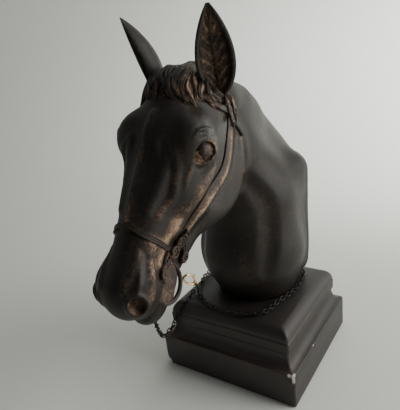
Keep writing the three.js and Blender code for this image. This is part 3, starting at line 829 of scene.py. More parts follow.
def skin_brown_and_shade(points):
    """How much brown shows on the skin at each point, with painted shade made by taking brown away along the
    cheek-strap grooves and on the floor of each eye under the upper lid.
    """
    mirrored = points.copy()
    mirrored[:, 0] = np.abs(mirrored[:, 0])
    amount = np.full(len(points), 0.12)
    for line, reach, strength in BROWN_LINES:
        amount += strength * near_line(mirrored, from_head(line), reach)
    for line, reach, strength in BROWN_THROAT:
        amount += strength * near_line(mirrored, line, reach)
    # Painted shade: a narrow dark band on the skin along both grooves of the cheek strap.
    amount -= 0.9 * np.maximum(near_line(mirrored, from_head(STRAP_FRONT), 1.6),
                               near_line(mirrored, from_head(STRAP_REAR), 2.2)) ** 0.5
    for side in (1, -1):
        centre, look, rear, up = eye_axes(side)
        gap = np.linalg.norm(points - centre, axis=1)
        a, b, ahead = ((points - centre) @ axis for axis in (rear, up, look))
        size = eye_size(a, b)
        near = (ahead > 0) & (gap < LID + 3)
        rim = 0.72 * np.clip(1 - np.abs(size - 1.07) / 0.28, 0, 1)
        amount = np.where(near, np.maximum(amount, rim), amount)
        inner = near & (size < 0.96) & (gap < LID - 0.6)
        amount = np.where(inner, np.where(a < -2.5, 0.80, 0.50), amount)
        # Painted shade: the floor of the opening under the upper lid is made dark.
        shaded = inner & (gap < EYE_FLOOR + 0.2) & (b > 2.5)
        amount = np.where(shaded, 0.0, amount)
        on_ball = np.linalg.norm(points - centre - look * BALL_OUT, axis=1) < BALL + 0.3
        iris = inner & on_ball & (gap > EYE_FLOOR + 0.2)
        amount = np.where(iris, 0.26, amount)
    return np.clip(amount, 0, 1)


def make_form():
    vertices, quads = bust_volume().mesh()
    add_piece("bust_form", vertices, quads, resin, "horse_bust", skin_brown_and_shade(vertices))


# Ears: pointed leaves, hollow on one side, with a carved vein and its branches


EAR_BASE = {1: (25.0, -68.0, 186.7), -1: (-22.5, -68.0, 186.7)}
EAR_TIP = {1: (31.5, -84.0, 243.0), -1: (-31.5, -84.0, 243.0)}
EAR_HALF = {1: 12.2, -1: 13.6}
EAR_TURN = {1: -50, -1: -130}
EAR_STEPS = 130
EAR_BACK_STEPS = 40
EAR_FRONT_STEPS = 72
VEINS = 8.0


def ear_section(s, half):
    """The outline of the ear at one height, as (sideways, forward), and the brown on it."""
    depth = half * 0.95
    wall = min(2.3, half * 0.42)
    ring = []
    patina_and_shade = []
    for j in range(EAR_BACK_STEPS + 1):
        a = math.pi * j / EAR_BACK_STEPS
        lip = 0.55 * math.exp(-(math.sin(a) / 0.3) ** 2)
        ring.append(((half + lip) * math.cos(a), -depth * math.sin(a) + 4))
        patina_and_shade.append(0.12 + 0.10 * math.exp(-(math.sin(a) / 0.25) ** 2))
    fade = min(1.0, max(0.0, (s - 0.05) / 0.10)) * min(1.0, max(0.0, (0.97 - s) / 0.08))
    for j in range(1, EAR_FRONT_STEPS):
        a = math.pi * (1 - j / EAR_FRONT_STEPS)
        share = math.cos(a)
        deep = (depth - wall) * math.sin(a)
        middle = math.exp(-((share - 0.06 * math.sin(6 * s)) / 0.085) ** 2)
        branch = max(0.0, math.sin(2 * math.pi * (s * VEINS - abs(share) * 1.5))) ** 0.8
        edge = min(1, abs(share) * 4) * max(0.0, 1 - abs(share) ** 4)
        relief = (1.5 * middle + 0.95 * branch * edge) * fade
        ring.append((share * (half - wall), -deep * 0.86 + relief + 4))
        patina_and_shade.append((0.46 + 0.24 * branch * edge - 0.08 * middle) * (1 - 0.55 * abs(share) ** 6))
    return ring, patina_and_shade


def make_ear(side):
    base = np.array(EAR_BASE[side]) + (0, 0, SEAT)
    tip = np.array(EAR_TIP[side]) + (0, 0, SEAT)
    length = np.linalg.norm(tip - base)
    rise = (tip - base) / length
    turn = math.radians(EAR_TURN[side])
    opening = unit(flatten(np.array([math.cos(turn), math.sin(turn), 0.0]), rise))
    across = np.cross(rise, opening)
    rings = []
    patina_and_shade = []
    for i in range(EAR_STEPS + 1):
        t = -0.10 + 1.09 * i / EAR_STEPS
        s = min(max(t, 0.02), 0.985)
        half = max(EAR_HALF[side] * (s ** 0.6 * (1 - s) ** 0.9) / 0.3643, 0.5)
        ring, shades = ear_section(s, half)
        patina_and_shade += shades
        centre = base + rise * (t * length)
        rings.append([centre + across * a + opening * o for a, o in ring])
    parts = Parts()
    parts.add(*loft(rings), patina_and_shade + [0.3, 0.3])
    parts.make("ear_left" if side > 0 else "ear_right", resin, node="horse_bust")


# Hair: wavy locks, each with fine strands cut along it


HAIR_WAVES = 1.4
LOCK_TIP = 0.12
LOCK_STEPS = 40
LOCK_SIDES = 26


def lock(parts, path, width, height, shade, seed, twist, wave, root=0.35, strands=4):
    """One lock swept along the skin: broad and low, wavy, and grooved between its strands."""
    path = on_skin(smooth_path(path, LOCK_STEPS))
    normal = normals_at(path)
    side = sides_of(path, normal)
    wander = np.random.default_rng(seed).uniform(0, 2 * math.pi, 4)
    share = np.linspace(0, 1, LOCK_STEPS)
    sway = np.sin(2 * math.pi * HAIR_WAVES * share + wander[3]) * share ** 0.5
    path = path + side * (wave * sway)[:, None]
    rings = []
    shades = []
    for i, t in enumerate(share):
        swell = min(1.0, root + (1 - root) * min(1.0, t / 0.3))
        swell *= min(1.0, LOCK_TIP + (1 - LOCK_TIP) * ((1 - t) / 0.45) ** 0.8)
        w = width * max(swell, 0.05)
        h = height * max(swell, 0.05)
        lift = 0.15 * h + 0.35 * wave * math.sin(2 * math.pi * HAIR_WAVES * t + wander[3] + 1.2) * t
        ring = []
        for j in range(LOCK_SIDES):
            a = 2 * math.pi * j / LOCK_SIDES
            groove = 0.17 * math.cos(strands * 2 * a + twist * t * 6 + wander[0])
            groove += 0.07 * math.cos(7 * a - twist * t * 9 + wander[1])
            top = 1 if math.sin(a) > -0.3 else 0.2
            r = 1 + groove * top
            ring.append(path[i] + side[i] * (w * r * math.cos(a)) + normal[i] * (h * r * math.sin(a) + lift))
            low = 0.30 * max(0.0, 0.5 - math.sin(a))
            shades.append(shade - 1.5 * groove * top + low + 0.08 * math.sin(5 * t + wander[2]))
        rings.append(ring)
    parts.add(*loft(rings), np.clip(shades + [shade, shade], 0, 1))


# Locks of the forelock, the far side and the temple, each from its root, in head axes
FORELOCK = [
    [(-12, 6, 3), (-16, 12, 6), (-17, 20, 8), (-20, 24, 8), (-20, 31, 6)],
    [(-11, 5.5, 1), (-13, 14, 3), (-14, 21, 4), (-10, 31, 9)],
    [(-10, 4, -2), (-5, 17, 7), (-4, 26, 9.5), (-4, 33, 10.6)],
    [(-4, 4.5, 0), (-1, 17, 7), (2, 24, 9), (6, 31, 10)],
    [(0, 5, 1), (3, 18, 8), (6, 25, 9), (11, 32, 8.6)],
    [(4, 5, 0.5), (5, 17, 7), (8, 25.5, 8.5), (11.4, 31.4, 8)],
    [(6, 3, -2), (8, 16, 6), (10, 24, 7.5), (15, 32, 6), (17, 35, 5)],
    [(9, 4, -2), (11, 17, 4.5), (12.5, 25, 6), (17, 31, 4.5), (19, 32, 3)],
    [(12, 6, -3), (14, 17, 3), (15, 25, 4.6), (19, 30, 2), (22, 33, -0.6)],
    [(15, 8, -4), (16, 17, 1), (18, 23, 2), (20, 28, 0.6), (21.5, 31, -0.3)],
    [(17, 11, -4.4), (19.4, 18, -2.4), (21.3, 24, -2), (23.5, 28, -4.3)],
    [(18.4, 11, -5.7), (21, 18.5, -4.7), (23, 23, -6), (25, 24.4, -10.5), (26, 25.3, -15.8)],
    [(20.6, 13.6, -7.3), (23, 18, -9.3), (24.2, 19, -16), (21.3, 15.5, -28.5)],
]
SIDE_LOCKS = [
    [(-18, 12, 0), (-22, 20, 2), (-24, 26, 0), (-25, 33, -4)],
    [(-20, 10, -6), (-24, 17, -6), (-26, 24, -8), (-27, 30, -12)],
    [(-21, 8, -12), (-25, 16, -15), (-26, 24, -19), (-26, 30, -24)],
    [(-14, 0, -4), (-16, 7, 1), (-19, 14, 3), (-22, 22, 4)],
    [(-7, 0, -4), (-8, 10, 3), (-9, 20, 7), (-7, 29, 9.5)],
    [(2, -2, -6), (1, 8, 2), (-2, 18, 7), (0, 29, 10)],
    [(9, -1, -6), (9.5, 9, 0), (12, 18, 4), (13, 27, 6)],
    [(15, 2, -9), (17, 10, -4), (18, 19, -1), (19.5, 26, 0)],
    [(20, 8, -14), (22.5, 13, -13), (24.5, 18, -14), (25, 22, -22)],
]
TEMPLE_LOCKS = [
    [(20, 4, -30), (21.5, 10, -34), (23, 16, -36), (24, 20, -32)],
    [(19, 3, -34), (20.5, 9, -38), (22.5, 16, -42), (23.5, 24, -46)],
    [(21.5, 8, -26), (23.5, 14, -27), (24.5, 20, -29)],
    [(18, 2, -38), (19.5, 7, -43), (21.5, 14, -48), (23, 21, -52)],
    [(22, 12, -22), (24.5, 17, -22), (25.5, 22, -24)],
]


def make_forelock(rng):
    parts = Parts()
    for i, points in enumerate(SIDE_LOCKS):
        lock(parts, from_head(points), 3.6, 2.2, shade=0.34, seed=20 + i, twist=1.2, wave=0.8)
    for i, points in enumerate(FORELOCK):
        path = from_head(points)
        start = path[0] + (path[0] - path[1]) * 0.35
        path = np.vstack([start, path])
        gold = 0.24 + 0.42 * math.exp(-((i - 8.5) / 2.6) ** 2)
        lock(parts, path, rng.uniform(3.4, 4.4), rng.uniform(2.8, 3.7), shade=gold, seed=i,
             twist=rng.uniform(-1.5, 1.5), wave=rng.uniform(1.2, 2.0), strands=2)
        split = path + ACROSS * rng.uniform(-1.6, 1.6)
        split[-1] += ALONG * rng.uniform(-4.0, 1.0) + ACROSS * rng.uniform(-2.5, 2.5)
        lock(parts, split, rng.uniform(1.5, 2.1), rng.uniform(3.6, 4.6), shade=gold, seed=60 + i,
             twist=rng.uniform(-2, 2), strands=2, wave=rng.uniform(0.6, 1.4))
    for i, points in enumerate(TEMPLE_LOCKS):
        lock(parts, from_head(points), 1.9, 2.0, shade=0.5, seed=40 + i, twist=2, strands=2, wave=0.7)
    parts.make("forelock", resin, node="horse_bust")


MANE_LOCKS = 22


def make_mane(rng):
    """Locks from the crest down the right of the neck, with a narrow one over every second."""
    mane = Parts()
    for i in range(MANE_LOCKS):
        t = (i + 0.5) / MANE_LOCKS
        y = -58 + 102 * t
        crest = SEAT + 203 - 78 * t ** 1.7
        fall = 52 - 10 * abs(2 * t - 1) + rng.uniform(-5, 5)
        sway = rng.uniform(-3, 3)
        path = [(-2, y, crest), (-10, y + 1 + sway * 0.3, crest - fall * 0.14),
                (-19, y + 2 + sway, crest - fall * 0.45),
                (-25, y + sway * 0.2 + 4, crest - fall * 0.75), (-28, y + 6 - sway, crest - fall)]
        lock(mane, path, rng.uniform(3.4, 4.4), rng.uniform(3.2, 4.2), shade=0.3, seed=100 + i, root=0.12,
             twist=rng.uniform(-1.5, 1.5), strands=3, wave=rng.uniform(0.5, 1.4))
        if i % 2 == 0:
            over = np.array(path, float)
            over[:, 1] += 2.8
            over[-1, 2] += 9
            lock(mane, over, 2.2, 5.6, shade=0.42, seed=200 + i, twist=2, strands=2, root=0.1, wave=0.8)
    mane.make("mane", resin, node="horse_bust")


# Bridle: straps in relief, the knot at the temple, buckles, and the bit


STRAP_EDGE = 0.16


def strap(parts, points, width, lift, shade, face=0.0, ends=(1.0, 1.0)):
    """A flat strap on the skin with rounded, slightly raised edges."""
    count = max(24, int(np.sum(np.linalg.norm(np.diff(np.array(points), axis=0), axis=1)) * 1.1))
    path = on_skin(smooth_path(on_skin(points), count))
    rim = min(1.0, STRAP_EDGE * width) / (width / 2)
    section_half = [(1, -0.8 / lift), (1, 0.55), (1 - rim * 0.2, 0.86), (1 - rim * 0.6, 1), (1 - rim, 0.97),
                    (1 - rim * 1.5, 0.78), ((1 - rim) * 0.5, 0.84), (0, 0.86)]

    def section(t):
        half = width / 2 * np.interp(t, (0, 0.15, 0.8, 1), (ends[0], 1, 1, ends[1]))
        out = [(half * s, lift * h) for s, h in section_half]
        return out + [(-s, o) for s, o in reversed(out[:-1])]
    half_shades = [0.0, 0.02, 0.06, 0.08, 0.06, face * 0.8, face, face]
    shades = np.tile(half_shades + half_shades[-2::-1], count)
    parts.add(*ribbon(path, normals_at(path), section), np.concatenate([shades + shade, [shade, shade]]))


# Across the cheek strap from its front edge: share of the width, lift off the skin and brown; the brown is
# nought at both edges and over the rear band, which is painted shade
CHEEK_SECTION = [
    (0.045, -0.9, 0.0), (0.045, 0.15, 0.05), (0.09, 0.42, 0.2), (0.16, 0.52, 0.34), (0.26, 0.55, 0.36),
    (0.4, 0.6, 0.42), (0.55, 0.62, 0.6), (0.68, 0.62, 0.82), (0.76, 0.55, 0.82), (0.80, 0.5, 0.0),
    (0.88, 0.45, 0.0), (0.95, 0.2, 0.0), (0.95, -0.9, 0.0)]


def cheek_strap(parts, side):
    """The broad strap down the cheek, between its two grooves, dark at its edges and along its rear band
    with painted shade.
    """
    front, rear = strap_edges(side)
    shares, lifts, shades = zip(*CHEEK_SECTION)
    columns = [on_skin(front + (rear - front) * s) for s in shares]
    rows = []
    for i in range(len(front)):
        fade = min(1.0, 0.2 + i / 5, 0.2 + (len(front) - 1 - i) / 5)
        points = np.array([column[i] for column in columns])
        lift = np.array([h * fade if h > 0 else h for h in lifts])
        rows.append(points + normals_at(points) * lift[:, None])
    if side < 0:
        rows = [row[::-1] for row in rows]
        shades = shades[::-1]
    vertices, faces = loft(rows)
    shade = np.tile(shades, len(rows))
    parts.add(vertices, faces, np.concatenate([shade, np.full(len(vertices) - len(shade), 0.2)]))


KNOB_PROFILE = [(1.0, -1.2), (1.0, 0.25), (0.93, 0.5), (0.78, 0.55), (0.7, 0.45), (0.6, 0.5), (0.45, 0.9),
                (0.2, 1.0)]


def knob(parts, centre, normal, radius, height, shade):
    """A low turned boss."""
    u = unit(np.cross(normal, (0.3, 0.5, 0.8)))
    v = np.cross(normal, u)
    rings = [circle(centre + normal * h * height, u * radius * r, v * radius * r, 36)
             for r, h in KNOB_PROFILE]
    parts.add(*loft(rings), shade)


BRAID_STEPS = 60


def braid(parts, points, radius, turns, shade):
    """A cord of three plaited strands that runs over the skin."""
    path = smooth_path(on_skin(points, radius * 0.6), BRAID_STEPS)
    normal = normals_at(path)
    side = sides_of(path, normal)
    for strand in range(3):
        rings = []
        for i, t in enumerate(np.linspace(0, 1, BRAID_STEPS)):
            phase = 2 * math.pi * (turns * t + strand / 3)
            centre = path[i] + side[i] * (radius * 0.75 * math.sin(phase))
            centre = centre + normal[i] * (radius * 0.35 * math.sin(2 * phase))
            thin = radius * 0.62 * (0.6 + 0.4 * min(1, 6 * t, 6 * (1 - t)))
            rings.append(circle(centre, side[i] * thin, normal[i] * thin, 10))
        parts.add(*loft(rings), shade)


def bit_ring(side):
    """Centre of a bit ring, the normal of its plane, and the axis back towards the neck."""
    centre = skin_point((13.5, 142, -27), side)
    normal = unit(0.97 * side * ACROSS - 0.15 * ALONG + 0.10 * OUT)
    return centre + normal * 1.2, normal, -unit(flatten(OUT, normal))


OVER_POLL = [(-6.5, -9, -17), (0, -13, -20), (6.5, -9, -17)]
TEMPLE_KNOT = (23.5, 22, -33)
TEMPLE_BRAID = [(21, 14, -36), (23, 20, -39), (23.5, 27, -45)]
BIT_BRAID = [(15.5, 106, -32), (12.5, 114, -29.5), (11.2, 121.8, -26.6), (10.9, 130.8, -22.2),
             (15.5, 137, -13)]
BIT_TAIL = [(12.5, 114, -31), (12, 120, -36), (10.5, 127, -38)]
BIT_KEEPER = [(16, 124, -22), (16, 133, -19), (17, 140, -12)]
# Eyelets along the braid: place, radius and height
BIT_EYELETS = [((12, 115, -28.5), 3.3, 2.6), ((11.2, 122, -26.6), 3.6, 2.8), ((12.1, 123, -37), 3.2, 2.4),
               ((11.5, 131, -22.5), 3.0, 2.6), ((16.1, 138, -13), 2.9, 2.2)]
# The scrolled cheek piece: half widths along the ring's radius, and its moulded section
SCROLL_WIDTHS = [(-1.05, 3.5), (-0.7, 7.0), (-0.3, 7.6), (0.1, 8.8), (0.5, 8.6), (0.8, 6.0), (1.0, 2.0)]
SCROLL_SECTION = [(-1, -0.6), (-0.96, 0.4), (-0.7, 1.0), (-0.4, 0.45), (0, 0.75), (0.4, 0.45), (0.7, 1.0),
                  (0.96, 0.4), (1, -0.6)]


def make_straps():
    parts = Parts()
    nose = both(NOSE_BAND[::-1], -1)[:-1] + NOSE_BAND
    poll = both(HEAD_PIECE[:0:-1], -1) + OVER_POLL + HEAD_PIECE[1:]
    strap(parts, from_head(nose), 3.5, 1.5, shade=0.12, face=0.12)
    strap(parts, from_head(poll), 4.4, 1.5, shade=0.25, face=0.2)
    for side in (1, -1):
        cheek_strap(parts, side)
        strap(parts, on_side(BROW_BAND, side), 3.8, 2.0, shade=0.2, face=0.1)
        strap(parts, on_side(STRAP_END, side), 1.8, 1.7, shade=0.05, ends=(1, 0.5))
        knot = skin_point(TEMPLE_KNOT, side)
        normal = normals_at(knot[None])[0]
        knob(parts, knot + normal * 1.4, normal, 3.6, 2.6, 0.35)
        u = flatten(ALONG, normal)
        v = np.cross(normal, u)
        parts.add(*wire_ring(knot + normal * 2.2, u, v, 4.3, 3.4, 1.25), 0.3)
        parts.add(*wire_ring(knot + normal * 2.6 + u * 5.0, u, v, 2.6, 2.2, 1.1), 0.4)
        braid(parts, on_side(TEMPLE_BRAID, side), 1.9, 2.5, 0.45)
    parts.make("bridle_straps", resin, node="horse_bust")


def make_bit():
    bit = Parts()
    for side in (1, -1):
        braid(bit, on_side(BIT_BRAID, side), 2.3, 5, 0.42)
        braid(bit, on_side(BIT_TAIL, side), 2.1, 3, 0.3)
        for place, radius, tall in BIT_EYELETS:
            c = skin_point(place, side, 1.2)
            n = normals_at(c[None])[0]
            u = flatten(ALONG, n)
            bit.add(*wire_ring(c + n * 0.8, u, np.cross(n, u), radius, radius * 0.82, 1.15), 0.35)
            knob(bit, c - n * 0.3, n, radius * 0.62, tall * 0.7, 0.5)
        centre, normal, back = bit_ring(side)
        ahead = np.cross(normal, back)
        ring = wire_ring(centre, back, ahead, BIT_RADIUS, BIT_RADIUS, BIT_WIRE / 2, turns=64, sides=14)
        bit.add(*ring, 0.3)
        hang = []
        for t, width in SCROLL_WIDTHS:
            at = centre + ahead * (BIT_RADIUS * t)
            hang.append([at + back * (width * c) + normal * (h * 1.3) for c, h in SCROLL_SECTION])
        if side < 0:
            hang = [ring[::-1] for ring in hang]
        bit.add(*loft(hang), 0.42)
        # The mouthpiece's end, and the keeper that ties the strap to the ring
        knob(bit, skin_point((15.5, 142, -17), side), normal, 3.4, 2.4, 0.35)
        strap(bit, on_side(BIT_KEEPER, side), 4.0, 2.2, shade=0.35, face=0.2)
    bit.make("bit_rings", resin, node="horse_bust")


# The plinth


def plinth_profile():
    """Inset and level up the side, as smooth mouldings with slightly eased edges."""
    points = [(1.2, 0.0), (0.35, 0.35), (0.0, 1.2)]
    points += [(0.0, z) for z in np.linspace(3, BLOCK_HEIGHT - 1.4, 12)]
    points += [(0.15, BLOCK_HEIGHT - 0.6), (0.5, BLOCK_HEIGHT - 0.15), (1.0, BLOCK_HEIGHT)]
    run = SLAB_INSET + COVE_UNDERCUT
    for a in np.linspace(0.10, math.pi / 2, 18):
        inset = 0.8 + run * math.sin(a) - 0.8 * (a / (math.pi / 2))
        points.append((inset, BLOCK_HEIGHT + 0.96 * COVE_HEIGHT * (1 - math.cos(a))))
    points += [(SLAB_INSET + 1.1, SLAB_BOTTOM - 0.25), (SLAB_INSET + 0.5, SLAB_BOTTOM),
               (SLAB_INSET + 0.1, SLAB_BOTTOM + 0.4)]
    points += [(SLAB_INSET, z) for z in np.linspace(SLAB_BOTTOM + 1.2, SLAB_TOP - 0.9, 6)]
    points += [(SLAB_INSET + 0.25, SLAB_TOP - 0.2), (SLAB_INSET + 0.9, SLAB_TOP + 0.3)]
    top_rise = PLINTH_TOP - SLAB_TOP
    for a in np.linspace(0.14, math.pi / 2 - 0.02, 16):
        inset = SLAB_INSET + OVOLO_RUN * (1 - math.cos(a)) + 0.5 * math.cos(a)
        points.append((inset, SLAB_TOP + top_rise * math.sin(a)))
    return points


PLINTH_SIDE_STEPS = 110
PLINTH_CORNER_STEPS = 8
EDGE_BAND = 18
# Chips at the near corner of the block and along its edges: place and radius
CHIPS = [((64.6, -63.0, 29.6), 3.4), ((64.8, -60.2, 30.6), 2.2), ((61.0, -63.4, 30.8), 2.4),
         ((64.9, -63.2, 24.8), 2.0), ((58.4, -56.6, 45.0), 1.8), ((64.9, -20.0, 30.9), 1.4),
         ((-64.6, -63.0, 1.5), 4.0), ((20.0, -63.4, 30.9), 1.3), ((-35.0, -63.4, 30.8), 1.5)]


def plinth_ring(inset, level, half_x, half_y):
    """A rounded square at one level, with many points along its sides."""
    radius = 1.6 + 0.6 * (level > BLOCK_HEIGHT)
    hx = half_x - inset - radius
    hy = half_y - inset - radius
    corners = [(1, 1), (-1, 1), (-1, -1), (1, -1)]
    ring = []
    for k, (sx, sy) in enumerate(corners):
        for i in range(PLINTH_CORNER_STEPS + 1):
            a = math.pi / 2 * (k + i / PLINTH_CORNER_STEPS)
            ring.append((sx * hx + radius * math.cos(a), sy * hy + radius * math.sin(a), level))
        nx, ny = corners[(k + 1) % 4]
        a = math.pi / 2 * (k + 1)
        start = (sx * hx + radius * math.cos(a), sy * hy + radius * math.sin(a))
        end = (nx * hx + radius * math.cos(a), ny * hy + radius * math.sin(a))
        for i in range(1, PLINTH_SIDE_STEPS):
            t = i / PLINTH_SIDE_STEPS
            ring.append((start[0] + (end[0] - start[0]) * t, start[1] + (end[1] - start[1]) * t, level))
    return ring


def chip_plinth(vertices, worn):
    """Presses the chips in, and marks the pale ones at the near corner."""
    for centre, radius in CHIPS:
        gap = np.linalg.norm(vertices - centre, axis=1)
        depth = np.clip(1 - gap / (radius * 1.15), 0, 1)
        x, y, z = centre
        inward = np.array([-np.sign(x) * (abs(x) > 50), -np.sign(y) * (abs(y) > 50), -0.6 * (z > 20)])
        vertices += inward * (depth * radius * 0.55)[:, None]
        if z > 20 and x > 60:
            worn[depth > 0.28] = 0.98


def make_plinth():
    half_x = (plinth_high[0] - plinth_low[0]) / 2
    half_y = (plinth_high[1] - plinth_low[1]) / 2
    waves = np.random.default_rng(3).uniform(0, 2 * math.pi, 8)
    vertices, faces = loft([plinth_ring(inset, level, half_x, half_y) for inset, level in plinth_profile()])
    worn = np.full(len(vertices), 0.16)
    x, y, z = vertices.T
    wobble = np.sin(x * 0.11 + waves[0]) + np.sin(y * 0.13 + waves[1])
    wobble = (wobble + np.sin(z * 0.4 + waves[2] + x * 0.05)) * 0.09
    outward = np.stack([np.sign(x) * (np.abs(x) > half_x - EDGE_BAND),
                        np.sign(y) * (np.abs(y) > half_y - EDGE_BAND), np.zeros(len(x))], 1)
    vertices -= outward * (np.abs(wobble) * (z > 1.5))[:, None]
    ledge = np.exp(-((z - BLOCK_HEIGHT - 1) / 3.0) ** 2) + 0.6 * np.exp(-((z - SLAB_TOP) / 3.0) ** 2)
    worn += 0.30 * ledge * (y < -40) + 0.15 * (y < -half_y + 3) * (z < BLOCK_HEIGHT)
    chip_plinth(vertices, worn)
    parts = Parts()
    parts.add(vertices, faces, worn)
    parts.make("plinth_body", plinth_resin, node="plinth")


# The chain


def neck_reach(angle, level):
    """How far the neck reaches from its middle, in one direction."""
    reach = np.arange(0, 90, 0.5)
    x = reach * math.cos(angle)
    y = NECK_MIDDLE + reach * math.sin(angle)
    outside = horse_field(x, y, np.full_like(x, SEAT + level)) >= 0
    return reach[np.argmax(outside)]


NECK_MIDDLE = 8
HOLD_TURN = math.radians(25)


def ring_hold(side):
    """Where the rein takes hold of a bit ring."""
    centre, _, back = bit_ring(side)
    towards = back * math.cos(HOLD_TURN) - ALONG * math.sin(HOLD_TURN)
    return centre + towards * (BIT_RADIUS + BIT_WIRE / 2 + CLASP_WIRE)


def clasp_place():
    return ring_hold(1) + CLASP_RUN * (CLASP_LENGTH / 2)


def chain_route():
    """From the clasp down to the plinth, round the neck, down the dark front and up to the far bit."""
    lie = PLINTH_TOP + 0.6 + LINK_WIDTH * 0.38 + LINK_WIRE * 0.3
    clasp_end = clasp_place() + CLASP_RUN * (CLASP_LENGTH / 2 + LINK_LENGTH * 0.75)
    start, slack_end, tight_start, tight_end, side_slack = np.radians((222, 292, 332, 500, 560))

    def rise(value, a, b):
        t = min(max((value - a) / (b - a), 0), 1)
        return t * t * (3 - 2 * t)

    def around(angle):
        slack = 18 * (1 - rise(angle, slack_end, tight_start))
        slack += 12 * rise(angle, tight_end, side_slack)
        reach = neck_reach(angle, 4) + LINK_WIDTH * 0.62 + 0.5 + slack
        return np.array([reach * math.cos(angle), NECK_MIDDLE + reach * math.sin(angle), lie])
    landing = 1.5
    first = around(start) + (0, 0, landing)
    points = [clasp_end]
    for t in (0.33, 0.66, 0.92):
        p = clasp_end + (first - clasp_end) * t
        p[2] = max(p[2] - 6 * math.sin(math.pi * t), lie + landing)
        points.append(p)
    points.append(first)
    turns = 17
    for i in range(1, turns + 1):
        points.append(around(start + 2 * math.pi * 0.93 * i / turns))
    clear = LINK_WIDTH * 0.5 + 0.6
    slab_y = plinth_low[1] + SLAB_INSET
    down_front = [
        (-45.5, -22.0, lie + 0.3), (-44.0, -38.0, lie + 0.6),
        (-44.0, slab_y + 9.0, SLAB_TOP + 9.0 + clear * 0.6), (-46.0, slab_y + 1.2, SLAB_TOP + 7.6),
        (-49.0, slab_y - clear + 0.3, SLAB_TOP + 1), (-53.0, slab_y - clear - 0.3, SLAB_BOTTOM + 2),
        (-57.5, slab_y - clear - 2.8, BLOCK_HEIGHT + 7.5)]
    up_again = [(-61.0, -67.5, 34.6), (-54.5, -79, 47), (-47, -90, 67), (-38, -99, 90)]
    return np.vstack([points, down_front, up_again, ring_hold(-1) + CLASP_RUN * LINK_LENGTH])


def chain_link(centre, ahead, side):
    """One oval link, its straights along the chain."""
    normal = np.cross(ahead, side)
    radius = (LINK_WIDTH - LINK_WIRE) / 2
    straight = LINK_LENGTH - LINK_WIDTH
    rings = []
    for turn in np.linspace(0, 2 * math.pi, 22, endpoint=False):
        c, s = math.cos(turn), math.sin(turn)
        shift = straight / 2 * (1 if c > 0 else -1)
        middle = centre + ahead * (radius * c + shift) + side * radius * s
        outward = ahead * c + side * s
        rings.append(circle(middle, outward * (LINK_WIRE / 2), normal * (LINK_WIRE / 2), 8))
    return loft(rings, closed=True)


def make_chain():
    coarse = smooth_path(chain_route(), 1600)
    pitch = LINK_LENGTH - 2 * LINK_WIRE - 0.05
    path = evenly(coarse, int(path_run(coarse)[-1] / pitch) + 1)
    parts = Parts()
    rng = np.random.default_rng(11)
    for i, (centre, ahead) in enumerate(zip(path, tangents(path))):
        reference = np.array([1.0, 0, 0]) if abs(ahead[2]) > 0.9 else np.array([0, 0, 1.0])
        flat = unit(np.cross(reference, ahead))
        up = np.cross(ahead, flat)
        roll = math.pi / 4 + (i % 2) * math.pi / 2 + rng.uniform(-0.16, 0.16)
        parts.add(*chain_link(centre, ahead, flat * math.cos(roll) + up * math.sin(roll)))
    parts.make("chain_links", black_metal, node="rein_chain")


def make_clasp():
    """A sprung clasp: a pear-shaped hook, its lever, a swivel eye and a jump ring."""
    centre = clasp_place()
    rise = -CLASP_RUN
    wide = CLASP_SPREAD
    thick = np.cross(rise, wide)
    half_l = CLASP_LENGTH / 2
    half_w = CLASP_WIDTH / 2

    def at(sideways, along):
        return centre + wide * half_w * sideways + rise * half_l * along
    parts = Parts()
    outline = np.array([at(0.86 * (1.0 + 0.20 * math.cos(a)) * math.sin(a), 0.86 * math.cos(a))
                        for a in np.linspace(0, 2 * math.pi, 56, endpoint=False)])
    ahead = np.roll(outline, -1, axis=0) - np.roll(outline, 1, axis=0)
    rings = [circle(p, np.cross(unit(t), thick) * 0.7, thick * 0.95, 14) for p, t in zip(outline, ahead)]
    parts.add(*loft(rings, closed=True))
    lever = smooth_path([at(0.5, -0.5), at(1.0, -0.2), at(1.45, 0.1)], 12)
    radii = [0.9 - 0.03 * i for i in range(12)]
    parts.add(*loft([circle(p, rise * r * 0.8, thick * r * 1.1, 12) for p, r in zip(lever, radii)]))
    parts.add(*wire_ring(at(0, -0.95), wide, rise, 1.5, 1.5, 0.55))
    parts.make("clasp_hook", gold_metal, node="rein_clasp")
    links = Parts()
    links.add(*wire_ring(centre - rise * (half_l + 2.2), thick, rise, 2.0, 2.4, 0.5))
    links.make("clasp_jump_ring", black_metal, node="rein_clasp")


# The stage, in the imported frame: its axes, the floor's reach, the curve's radius and the wall's top
AWAY = np.array([-0.5824, 0.8129])
SIDEWAYS = np.array([0.8129, 0.5824])
FLOOR_LEVEL = -0.2
FLOOR_FRONT = -1500
FLOOR_BACK = 250
CURVE = 420
WALL_TOP = 2400
HALF_STAGE = 2600
BACKDROP_COLOUR = (0.79, 0.80, 0.75, 1)
BACKDROP_ROUGHNESS = 0.85


